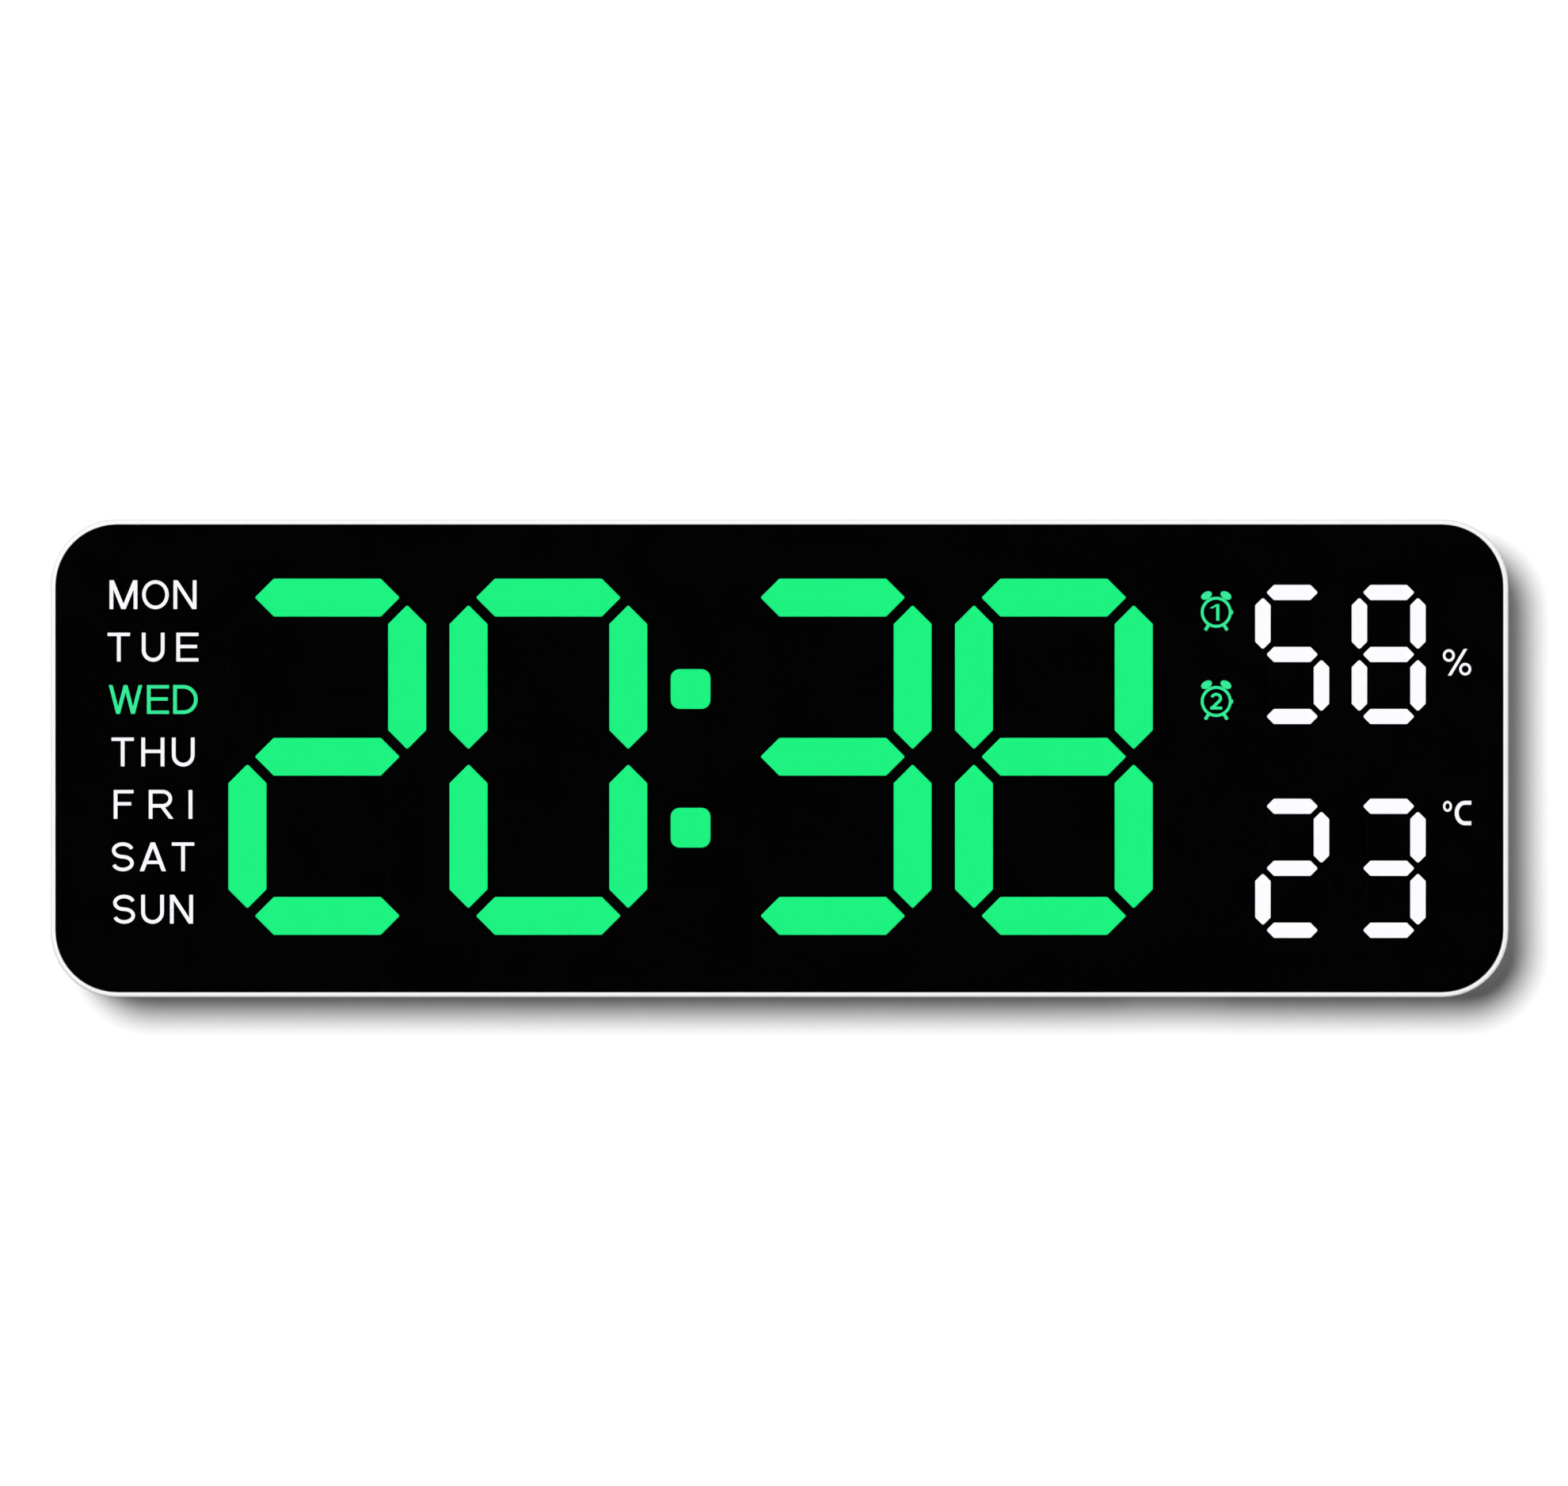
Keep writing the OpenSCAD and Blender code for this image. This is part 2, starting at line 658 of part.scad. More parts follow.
module dot(grow = 0) {
  rounded_rect(dot_side + 2 * grow, dot_side + 2 * grow, dot_r + grow);
}

// All display windows that show through the mask film
module windows(grow) {
  at(time_places) time_digit(SEGMENTS) time_segment(grow);
  at(concat(humidity_places, temperature_places)) small_digit(SEGMENTS) small_segment(grow);
  at(dot_places) dot(grow);
}

// Diffusers behind the printed words and signs
module legends(grow) {
  room = [2 * grow, 2 * grow];
  at(day_places) square([day_window_w, day_window_h] + room, center = true);
  at(alarm_places) square([alarm_window_w, alarm_window_h] + room, center = true);
  at(unit_places) square([unit_window, unit_window] + room, center = true);
}

// Wells through the reflector, behind the step that the light guides seat on
module wells() {
  step = 2 * guide_seat;
  at(time_places) time_digit(SEGMENTS) square([$seg_l - seg_t, seg_t - step], center = true);
  at(concat(humidity_places, temperature_places)) small_digit(SEGMENTS)
    square([$seg_l - small_t, small_t - step], center = true);
  at(dot_places) square(dot_side - step, center = true);
  legends(-guide_seat);
}

// A smooth run of points through a wire's route
function curve_point(a, b, c, d, t) = 0.5 * (2 * b + t * (c - a)
  + t * t * (2 * a - 5 * b + 4 * c - d) + t * t * t * (3 * b - a - 3 * c + d));
function smooth(p, steps) = concat([for (i = [0 : len(p) - 2], k = [0 : steps - 1])
  curve_point(p[max(i - 1, 0)], p[i], p[i + 1], p[min(i + 2, len(p) - 1)], k / steps)],
  [p[len(p) - 1]]);
// A wire's route, with a straight end that stands square to the face it meets
function wire(p) = concat([p[0]], smooth([for (i = [1 : len(p) - 2]) p[i]], lead_steps),
  [p[len(p) - 1]]);
function unit(v) = v / norm(v);
function along(p, i) = unit(p[min(i + 1, len(p) - 1)] - p[max(i - 1, 0)]);
// Direction that starts the turn of a tube's rings, along none of its runs
ring_start = [0.31, 0.52, 0.79];
function across(p, i = 0, found = []) = i == len(p) ? found :
  across(p, i + 1, concat(found, [i == 0 ? unit(cross(along(p, 0), ring_start)) :
    unit(found[i - 1] - (found[i - 1] * along(p, i)) * along(p, i))]));

// One unbroken tube along a list of points
module tube(p, d, sides) {
  n = across(p);
  ring = [for (i = [0 : len(p) - 1], k = [0 : sides - 1])
    p[i] + d / 2 * (cos(360 * k / sides) * n[i] + sin(360 * k / sides) * cross(along(p, i), n[i]))];
  last = (len(p) - 1) * sides;
  skin = [for (i = [0 : len(p) - 2], k = [0 : sides - 1], half = [0, 1])
    let (a = i * sides + k, b = i * sides + (k + 1) % sides)
    half == 0 ? [a, a + sides, b] : [b, a + sides, b + sides]];
  first_cap = [for (k = [1 : sides - 2]) [0, k, k + 1]];
  last_cap = [for (k = [1 : sides - 2]) [last, last + k + 1, last + k]];
  polyhedron(ring, concat(skin, first_cap, last_cap));
}

// Profile of the front frame: wall, rim, lens pocket, ledge and the rebate for the tongue
module frame_profile() {
  rebate = tongue_t + case_gap;
  difference() {
    union() {
      translate([0, front_y]) square([wall, frame_depth]);
      translate([0, ledge_front]) square([ledge_reach, ledge_t]);
    }
    translate([rim_w, front_y - lap]) square([wall, ledge_front - front_y + lap]);
    translate([wall - rebate, split_y - tongue_h - case_gap])
      square([rebate + lap, tongue_h + case_gap + lap]);
    difference() {
      translate([-lap, front_y - lap]) square(front_edge_r + lap);
      translate([front_edge_r, front_y + front_edge_r]) circle(front_edge_r);
    }
  }
}

// Bosses for the case screws, each with a rib to the side wall
module screw_bosses() {
  for (p = case_screws_xz) translate(p) {
    circle(boss_r);
    translate([p[0] > 0 ? 0 : -screw_inset, -boss_rib / 2]) square([screw_inset, boss_rib]);
  }
}

module front_frame() {
  color("white") difference() {
    union() {
      round_the_case() frame_profile();
      slab(ledge_back - ledge_t / 2, board_front) intersection() {
        screw_bosses();
        case_outline(wall / 2);
      }
    }
    slab(ledge_back, board_front + lap) at(case_screws_xz) circle(screw_r + pin_run);
  }
}

// Profile of the rear cover's rim: wall, tongue, the groove at the parting line and the rounded rear edge
module cover_profile() {
  difference() {
    union() {
      translate([0, split_y]) square([wall, back_y - split_y]);
      translate([wall - tongue_t, split_y - tongue_h]) square([tongue_t, tongue_h + lap]);
      translate([0, inside_y]) square([rim_band, back_t]);
    }
    translate([-lap, split_y - lap]) square(seam + lap);
    difference() {
      translate([-lap, back_y - rear_edge_r]) square(rear_edge_r + lap);
      translate([rear_edge_r, back_y - rear_edge_r]) circle(rear_edge_r);
    }
  }
}

module keyhole() {
  circle(key_r);
  translate([-key_slot_w / 2, 0]) square([key_slot_w, key_slot_l]);
  translate([0, key_slot_l]) circle(key_slot_w / 2);
}

module keyhole_pocket(grow) {
  side = key_r + key_room + grow;
  translate([-side, -side]) square([2 * side, 2 * side + key_slot_l]);
}

module stand_recess(grow) {
  low = recess_bottom - grow;
  translate([-recess_w / 2 - grow, low]) square([recess_w + 2 * grow, recess_top + grow - low]);
}

// The plug recess is open at the underside of the case
module inlet_recess(grow) {
  low = -body_h / 2 - lap;
  translate([inlet_x - inlet_w / 2 - grow, low]) square([inlet_w + 2 * grow, inlet_top + grow - low]);
}

module vent(xz) {
  for (i = [0 : vent_count - 1])
    translate([xz[0] + (i - (vent_count - 1) / 2) * vent_pitch, xz[1]])
      square([slot_w, slot_l], center = true);
}

module obround(w, h) {
  square([w - h, h], center = true);
  for (x = [-1, 1]) translate([x * (w - h) / 2, 0]) circle(h / 2);
}

// Solid walls of the rear cover before its hollows are cut
module cover_solids() {
  round_the_case() cover_profile();
  slab(inside_y, back_y) case_outline(rim_band - lap);
  slab(split_y, back_y - lap) intersection() {
    at(case_screws_xz) circle(column_r);
    case_outline(wall / 2);
  }
  slab(board_back + case_gap, split_y + lap) intersection() {
    at(case_screws_xz) circle(column_r);
    case_outline(wall + case_gap);
  }
  slab(battery_floor - inner_wall, inside_y + lap) translate([battery_x, battery_z])
    square(battery_out, center = true);
  slab(inside_y - key_depth - inner_wall, inside_y + lap) at(key_places) keyhole_pocket(inner_wall);
  slab(recess_floor - inner_wall, inside_y + lap) intersection() {
    stand_recess(ear_t);
    case_outline(wall / 2);
  }
  slab(inlet_floor - inner_wall, inside_y + lap) intersection() {
    inlet_recess(inner_wall);
    case_outline(wall + case_gap);
  }
  slab(inlet_board_back, inside_y + lap) at(stake_places) circle(stake_shoulder_r);
  slab(inlet_board_front - lap, inlet_board_back + lap) at(stake_places) circle(stake_r);
}

// Hollow of the battery box, seat of its door, notches for the door's tabs and slots for the terminals
module battery_hollow() {
  tab_room = tab_w + 2 * cell_room;
  ledge_low = -door_size[1] / 2 - door_gap;
  wall_low = -battery_out[1] / 2 - lap;
  top = lap - battery_in[1] / 2;
  translate([battery_x, 0, battery_z]) {
    slab(battery_floor, back_y + lap) square(battery_in, center = true);
    slab(back_y - door_t - case_gap / 2, back_y + lap)
      rounded_rect(door_size[0] + 2 * door_gap, door_size[1] + 2 * door_gap, door_r + door_gap);
    for (x = [-1, 1]) translate([x * tab_place - tab_room / 2, 0, 0]) {
      slab(back_y - tab_swing, inside_y) translate([0, wall_low]) square([tab_room, top - wall_low]);
      slab(back_y - tab_swing, back_y) translate([0, ledge_low]) square([tab_room, top - ledge_low]);
    }
  }
  slot = [battery_wall + 2 * lap, terminal[1] + 2 * case_gap, terminal[0] + 2 * case_gap];
  for (end = [[-1, cell_low_z], [1, cell_high_z]])
    translate([battery_x + end[0] * (battery_in[0] + battery_wall) / 2, cell_y, end[1]])
      cube(slot, center = true);
}

module rear_cover() {
  color("white") difference() {
    cover_solids();
    slab(board_back - lap, back_y + lap) at(case_screws_xz) circle(screw_r + screw_gap);
    slab(screw_seat, back_y + lap) at(case_screws_xz) circle(screw_head_r + head_room);
    battery_hollow();
    slab(inside_y - key_depth, inside_y) at(key_places) keyhole_pocket(0);
    slab(inside_y - lap, back_y + lap) at(key_places) keyhole();
    slab(recess_floor, back_y + lap) stand_recess(0);
    translate([-pin_l / 2 - lap, hinge_y, hinge_z]) rotate([0, 90, 0])
      cylinder(r = pin_r + pin_run / 2, h = pin_l + 2 * lap);
    slab(inlet_floor, back_y + lap) inlet_recess(0);
    translate([inlet_x, socket_y, inlet_top - lap]) linear_extrude(inner_wall + 2 * lap)
      obround(shell_w + 2 * case_gap, shell_d + 2 * case_gap);
    slab(inside_y - lap, back_y + lap) at(button_places) circle(cap_r + cap_gap);
    slab(inside_y - lap, back_y + lap) vent(buzzer_xz);
    slab(inside_y - lap, back_y + lap) vent(sensor_xz);
  }
}

module front_lens() {
  color([0.05, 0.05, 0.06, 0.6]) slab(lens_front, lens_back) case_outline(lens_inset);
}

module lens_tape() {
  inset = (rim_w + ledge_reach - tape_w) / 2;
  color("black") slab(mask_back, ledge_front) difference() {
    case_outline(inset);
    case_outline(inset + tape_w);
  }
}

module display_mask() {
  color([0.02, 0.02, 0.02]) slab(mask_front, mask_back) difference() {
    case_outline(lens_inset);
    windows(guide_gap);
  }
}

module reflector_block() {
  color([0.85, 0.85, 0.83]) difference() {
    union() {
      slab(mask_back, ledge_back + lap) case_outline(ledge_reach + stack_gap);
      slab(ledge_back, board_front) case_outline(wall + stack_gap);
    }
    slab(mask_back - lap, board_front + lap) at(case_screws_xz) circle(boss_r + stack_gap);
    slab(mask_back - lap, guide_back) {
      windows(guide_gap);
      legends(guide_gap);
    }
    slab(guide_back - lap, board_front + lap) wells();
    slab(board_front - board_screw_l, board_front + lap)
      at(board_screws_xz) circle(board_screw_r + pin_run);
  }
}

// Light guides of one time digit, lit
module time_guides(i) {
  color([0.12, 0.94, 0.51]) slab(mask_front, guide_back)
    translate(time_places[i]) time_digit(lit_letters(shown_time[i])) time_segment();
}

module hour_tens_segments() {
  time_guides(0);
}

module hour_units_segments() {
  time_guides(1);
}

module minute_tens_segments() {
  time_guides(2);
}

module minute_units_segments() {
  time_guides(3);
}

module colon_dots() {
  color([0.12, 0.94, 0.51]) slab(mask_front, guide_back) at(dot_places) dot();
}

module small_guides(places, values) {
  for (i = [0, 1])
    translate(places[i]) small_digit(lit_letters(values[i])) small_segment();
}

module humidity_segments() {
  color("white") slab(mask_front, guide_back) small_guides(humidity_places, shown_humidity);
}

module temperature_segments() {
  color("white") slab(mask_front, guide_back) small_guides(temperature_places, shown_temperature);
}

module unlit_segments() {
  small_places = concat(humidity_places, temperature_places);
  small_values = concat(shown_humidity, shown_temperature);
  color([0.06, 0.06, 0.06]) slab(mask_front, guide_back) {
    for (i = [0 : len(time_places) - 1])
      translate(time_places[i]) time_digit(unlit_letters(shown_time[i])) time_segment();
    for (i = [0 : len(small_places) - 1])
      translate(small_places[i]) small_digit(unlit_letters(small_values[i])) small_segment();
  }
}

module legend_diffusers() {
  color([0.9, 0.9, 0.88]) slab(mask_back, guide_back) legends(0);
}

module main_board() {
  color([0.05, 0.3, 0.15]) slab(board_front, board_back) difference() {
    case_outline(wall + stack_gap);
    at(case_screws_xz) circle(screw_r + screw_gap);
    for (p = case_screws_xz)
      translate([p[0] > 0 ? p[0] : p[0] - screw_inset, p[1] - screw_r - screw_gap])
        square([screw_inset, 2 * (screw_r + screw_gap)]);
    at(board_screws_xz) circle(board_screw_r + screw_gap);
  }
}

// LEDs stand on the front of the board, in the wells of the reflector
module time_leds() {
  color([0.9, 0.9, 0.6]) slab(board_front - time_led_t, board_front) {
    at(time_places) time_digit(SEGMENTS) for (side = [-1, 1])
      translate([side * (($seg_l - seg_t - time_led_l) / 2 - led_margin), 0])
        square([time_led_l, time_led_w], center = true);
    at(dot_places) square([time_led_w, time_led_l], center = true);
  }
}

module small_leds() {
  color([0.95, 0.95, 0.8]) slab(board_front - small_led_t, board_front) {
    at(concat(humidity_places, temperature_places)) small_digit(SEGMENTS)
      square([small_led_l, small_led_w], center = true);
    at(concat(day_places, alarm_places, unit_places))
      square([small_led_l, small_led_w], center = true);
  }
}

// Legs along two sides of a chip that lies on the back of the board
module chip_legs(l, w, legs) {
  leg_pitch = l / (legs + 1);
  slab(board_back, board_back + chip_leg_t) for (i = [1 : legs])
    translate([i * leg_pitch - l / 2, 0]) square([chip_leg_w, w + 2 * chip_leg], center = true);
}

module chip(l, w, t, legs) {
  slab(board_back, board_back + t) square([l, w], center = true);
  chip_legs(l, w, legs);
}

module controller_chip() {
  color([0.1, 0.1, 0.1]) translate([controller_xz[0], 0, controller_xz[1]]) {
    chip(controller_side, controller_side, controller_t, controller_legs);
    rotate([0, 90, 0]) chip_legs(controller_side, controller_side, controller_legs);
  }
}

module driver_chips() {
  color([0.1, 0.1, 0.1]) for (p = driver_places)
    translate([p[0], 0, p[1]]) chip(driver_l, driver_w, driver_t, driver_legs);
}

module crystal() {
  can = [8, 3.2, 3];
  color("silver") translate([crystal_xz[0], 0, crystal_xz[1]])
    slab(board_back, board_back + can[2]) obround(can[0], can[1]);
}

module buzzer() {
  hole_r = 1;
  color([0.1, 0.1, 0.1]) translate([buzzer_xz[0], 0, buzzer_xz[1]]) difference() {
    slab(board_back, board_back + buzzer_h) circle(buzzer_r);
    slab(board_back + buzzer_h / 2, board_back + buzzer_h + lap) circle(hole_r);
  }
}

module capacitors() {
  base_t = 0.8;
  color([0.7, 0.7, 0.75]) for (p = capacitor_places) translate([p[0], 0, p[1]]) {
    slab(board_back, board_back + base_t) square(2 * capacitor_r, center = true);
    slab(board_back + base_t / 2, board_back + capacitor_h) circle(capacitor_r - case_gap);
  }
}

module resistors() {
  size = [2, 1.25, 0.6];
  row_count = 7;
  row_pitch = 3.6;
  color([0.15, 0.15, 0.15]) slab(board_back, board_back + size[2])
    for (z = resistor_rows, i = [0 : row_count - 1])
      translate([(i - (row_count - 1) / 2) * row_pitch, z]) square([size[0], size[1]], center = true);
}

module climate_sensor() {
  slot = [1, 5];
  color("white") translate([sensor_xz[0], 0, sensor_xz[1]]) difference() {
    slab(board_back, board_back + sensor_t) square([sensor_w, sensor_h], center = true);
    slab(board_back + sensor_t / 2, board_back + sensor_t + lap) for (i = [-1 : 1])
      translate([i * 2 * slot[0], 0]) square(slot, center = true);
  }
}

module at_button(i) {
  p = button_places[i];
  translate([p[0], 0, p[1]]) children();
}

module tact_switches() {
  color([0.12, 0.12, 0.12]) for (i = [0 : button_count - 1]) at_button(i) difference() {
    slab(board_back, switch_back) square(switch_side, center = true);
    slab(switch_back - plunger_well, switch_back + lap) circle(plunger_r + case_gap);
  }
}

// The plunger rides with its button, and dips into the switch as the button is pressed
module switch_plunger(i) {
  color([0.2, 0.2, 0.2]) at_button(i) slab(switch_back - plunger_bite, plunger_back) circle(plunger_r);
}

module push_button(i) {
  flange_back = inside_y - case_gap / 2;
  flange_front = flange_back - flange_t;
  color("gainsboro") at_button(i) {
    slab(plunger_back, flange_back) circle(stem_r);
    slab(flange_front, flange_back) circle(cap_r + flange_reach);
    slab(flange_front, back_y - cap_sink) circle(cap_r);
  }
}

module mode_plunger() {
  switch_plunger(0);
}

module alarm_plunger() {
  switch_plunger(1);
}

module up_plunger() {
  switch_plunger(2);
}

module down_plunger() {
  switch_plunger(3);
}

module mode_button() {
  push_button(0);
}

module alarm_button() {
  push_button(1);
}

module up_button() {
  push_button(2);
}

module down_button() {
  push_button(3);
}

// A pan-head screw that points to the front, with a cross recess in its head
module screw(seat, shank_r, shank_l, head_r, head_h) {
  recess = head_r * cross_share;
  difference() {
    union() {
      slab(seat - shank_l, seat + head_h / 2) circle(shank_r);
      slab(seat, seat + head_h) circle(head_r);
    }
    slab(seat + head_h / 2, seat + head_h + lap) {
      square(recess, center = true);
      square([recess[1], recess[0]], center = true);
    }
  }
}

module case_screws() {
  color("silver") for (p = case_screws_xz) translate([p[0], 0, p[1]])
    screw(screw_seat, screw_r, screw_l, screw_head_r, screw_head_h);
}

module board_screws() {
  color("silver") for (p = board_screws_xz) translate([p[0], 0, p[1]])
    screw(board_back, board_screw_r, board_screw_l, board_screw_head_r, board_screw_head_h);
}

module inlet_board() {
  color([0.05, 0.3, 0.15]) slab(inlet_board_front, inlet_board_back) difference() {
    translate([inlet_x - inlet_board_w / 2, inlet_board_low]) square([inlet_board_w, inlet_board_h]);
    at(stake_places) circle(stake_r + case_gap);
  }
}

module socket_shell() {
  color("silver") translate([inlet_x, socket_y, inlet_top]) difference() {
    linear_extrude(shell_l) obround(shell_w, shell_d);
    translate([0, 0, -lap]) linear_extrude(shell_l - shell_t + lap)
      obround(shell_w - 2 * shell_t, shell_d - 2 * shell_t);
  }
}

module socket_tongue() {
  base = 1.8;
  inner = [for (side = [shell_w, shell_d]) side - 2 * shell_t - case_gap];
  top = inlet_top + shell_l - shell_t;
  color([0.1, 0.1, 0.1]) translate([inlet_x, socket_y, top]) mirror([0, 0, 1]) {
    linear_extrude(base) obround(inner[0], inner[1]);
    linear_extrude(base + blade_l) square([blade_w, blade_t], center = true);
  }
}

// The door's plate, the two tabs at its lower edge, and the sprung latch at its upper edge
module battery_door() {
  latch = [12, 7];
  latch_slot = 0.8;
  ridge = [8, 0.8, 0.3];
  ridge_pitch = 1.6;
  ridge_count = 3;
  low = -door_size[1] / 2;
  high = door_size[1] / 2;
  color("white") translate([battery_x, 0, battery_z]) difference() {
    union() {
      slab(back_y - door_t, back_y) rounded_rect(door_size[0], door_size[1], door_r);
      for (x = [-1, 1]) translate([x * tab_place - tab_w / 2, 0, low]) intersection() {
        union() {
          slab(tab_front, back_y - door_t / 2) square([tab_w, tab_l]);
          slab(tab_front, tab_front + tab_t) translate([0, -tab_l]) square([tab_w, tab_l + lap]);
        }
        translate([0, back_y, 0]) rotate([0, 90, 0]) cylinder(r = tab_r, h = tab_w);
      }
    }
    slab(back_y - door_t - lap, back_y + lap) for (x = [-1, 1])
      translate([x * latch[0] / 2, high - latch[1] / 2])
        square([latch_slot, latch[1] + lap], center = true);
    slab(back_y - ridge[2], back_y + lap) for (i = [1 : ridge_count])
      translate([0, high - i * ridge_pitch]) square([ridge[0], ridge[1]], center = true);
  }
}

function cell_z(i) = battery_z + (i - (cell_count - 1) / 2) * cell_pitch;
// Even cells have their nub on the left, odd ones on the right
function cell_turn(i) = i % 2 == 0 ? 0 : 1;

module at_cell(i) {
  translate([battery_x, cell_y, cell_z(i)]) mirror([cell_turn(i), 0, 0]) children();
}

module battery_cells() {
  nub_x = contact_t - battery_in[0] / 2;
  color([0.2, 0.35, 0.6]) for (i = [0 : cell_count - 1]) at_cell(i)
    translate([nub_x, 0, 0]) rotate([0, 90, 0]) {
      cylinder(r = nub_r, h = nub_l + lap);
      translate([0, 0, nub_l]) cylinder(d = cell_d, h = cell_l - nub_l);
    }
}

// Plates at the ends of the box: a pair of cells shares a plate, and each free end has its own
module contact_plate(x, z0, z1) {
  half = contact_side / 2;
  translate([x - contact_t / 2, cell_y - half, z0 - half])
    cube([contact_t, contact_side, z1 - z0 + contact_side]);
}

module terminal_tab(side, z) {
  l = battery_wall + terminal_out + contact_t;
  x = battery_x + side * (battery_in[0] / 2 - contact_t + l / 2);
  translate([x, cell_y, z]) cube([l, terminal[1], terminal[0]], center = true);
}

module battery_contacts() {
  left = battery_x - battery_in[0] / 2 + contact_t / 2;
  right = battery_x + battery_in[0] / 2 - contact_t / 2;
  color("silver") {
    contact_plate(left, cell_z(0), cell_z(0));
    for (i = [0 : cell_count - 2])
      contact_plate(cell_turn(i) == 0 ? right : left, cell_z(i), cell_z(i + 1));
    contact_plate(cell_turn(cell_count - 1) == 0 ? right : left, cell_high_z, cell_high_z);
    terminal_tab(-1, cell_low_z);
    terminal_tab(cell_turn(cell_count - 1) == 0 ? 1 : -1, cell_high_z);
  }
}

// Points along a contact spring: a cone of curls from its plate to its cell
curl_steps = 8;
spring_steps = spring_turns * curl_steps;
spring_x = battery_in[0] / 2 - contact_t - spring_wire / 2;
function spring_point(k) = let (
    t = k / spring_steps,
    r = spring_plate_r + t * (spring_cell_r - spring_plate_r),
    a = 360 * k / curl_steps)
  [spring_x - t * (spring_l - spring_wire), r * cos(a), r * sin(a)];
spring_points = [for (k = [0 : spring_steps]) spring_point(k)];
half_curl = curl_steps / 2;
spring_least_gap = min([for (i = [0 : spring_steps - half_curl], j = [i + half_curl : spring_steps])
  norm(spring_points[i] - spring_points[j])]) - spring_wire;
echo(spring_least_gap = spring_least_gap);

module battery_springs() {
  color("silver") for (i = [0 : cell_count - 1]) at_cell(i) tube(spring_points, spring_wire, 6);
}

module lead_socket() {
  color("ivory") translate([lead_socket_xz[0], 0, lead_socket_xz[1]])
    slab(board_back, lead_end_y) square([lead_socket_size[0], lead_socket_size[1]], center = true);
}

module red_leads() {
  color("red") for (route = [battery_red, inlet_red]) tube(wire(route), lead_d, lead_sides);
}

module black_leads() {
  color([0.1, 0.1, 0.1]) for (route = [battery_black, inlet_black])
    tube(wire(route), lead_d, lead_sides);
}

// Outline of the folded leg below its hinge, with round lower corners and a finger notch
module leg_outline() {
  difference() {
    union() {
      translate([-leg_w / 2, leg_corner - leg_l]) square([leg_w, leg_l - leg_corner]);
      translate([leg_corner - leg_w / 2, -leg_l]) square([leg_w - 2 * leg_corner, leg_l]);
      for (x = [-1, 1]) translate([x * (leg_w / 2 - leg_corner), leg_corner - leg_l]) circle(leg_corner);
    }
    translate([0, -leg_l]) circle(notch_r);
  }
}

// The two rubber pads at the tip of the leg, beside the finger notch
module pad_blocks() {
  for (x = [-1, 1])
    translate([x * pad_x, leg_back - pad_t / 2, hinge_z - leg_l + pad_h / 2])
      cube([pad_w, pad_t, pad_h], center = true);
}

// The leg with its hinge barrel, and the heel that stops it when it is open
module stand_leg() {
  color("white") difference() {
    union() {
      translate([0, 0, hinge_z]) slab(leg_back - leg_t, leg_back) leg_outline();
      translate([-leg_w / 2, hinge_y, hinge_z]) rotate([0, 90, 0]) cylinder(r = barrel_r, h = leg_w);
      translate([-stop_w / 2, hinge_y - stop_depth, hinge_z]) cube([stop_w, stop_depth, stop_reach]);
    }
    translate([-leg_w / 2 - lap, hinge_y, hinge_z]) rotate([0, 90, 0])
      cylinder(r = pin_r + pin_run, h = leg_w + 2 * lap);
    pad_blocks();
  }
}

module stand_pin() {
  color("silver") translate([-pin_l / 2, hinge_y, hinge_z]) rotate([0, 90, 0])
    cylinder(r = pin_r, h = pin_l);
}

module stand_pads() {
  color([0.12, 0.12, 0.12]) pad_blocks();
}

placed() front_frame();
placed() rear_cover();
placed() front_lens();
placed() lens_tape();
placed() display_mask();
placed() reflector_block();
placed() hour_tens_segments();
placed() hour_units_segments();
placed() minute_tens_segments();
placed() minute_units_segments();
placed() colon_dots();
placed() humidity_segments();
placed() temperature_segments();
placed() unlit_segments();
placed() legend_diffusers();
placed() main_board();
placed() time_leds();
placed() small_leds();
placed() controller_chip();
placed() driver_chips();
placed() crystal();
placed() buzzer();
placed() capacitors();
placed() resistors();
placed() climate_sensor();
placed() tact_switches();
placed() mode_plunger();
placed() alarm_plunger();
placed() up_plunger();
placed() down_plunger();
placed() mode_button();
placed() alarm_button();
placed() up_button();
placed() down_button();
placed() case_screws();
placed() board_screws();
placed() inlet_board();
placed() socket_shell();
placed() socket_tongue();
placed() battery_door();
placed() battery_cells();
placed() battery_contacts();
placed() battery_springs();
placed() lead_socket();
placed() red_leads();
placed() black_leads();
placed() stand_leg();
placed() stand_pin();
placed() stand_pads();
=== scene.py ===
"""Looks of a digital wall clock: materials, print, wall, floor, lights and camera."""

import json
import math

import bpy
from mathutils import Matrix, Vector
from mathutils.geometry import delaunay_2d_cdt


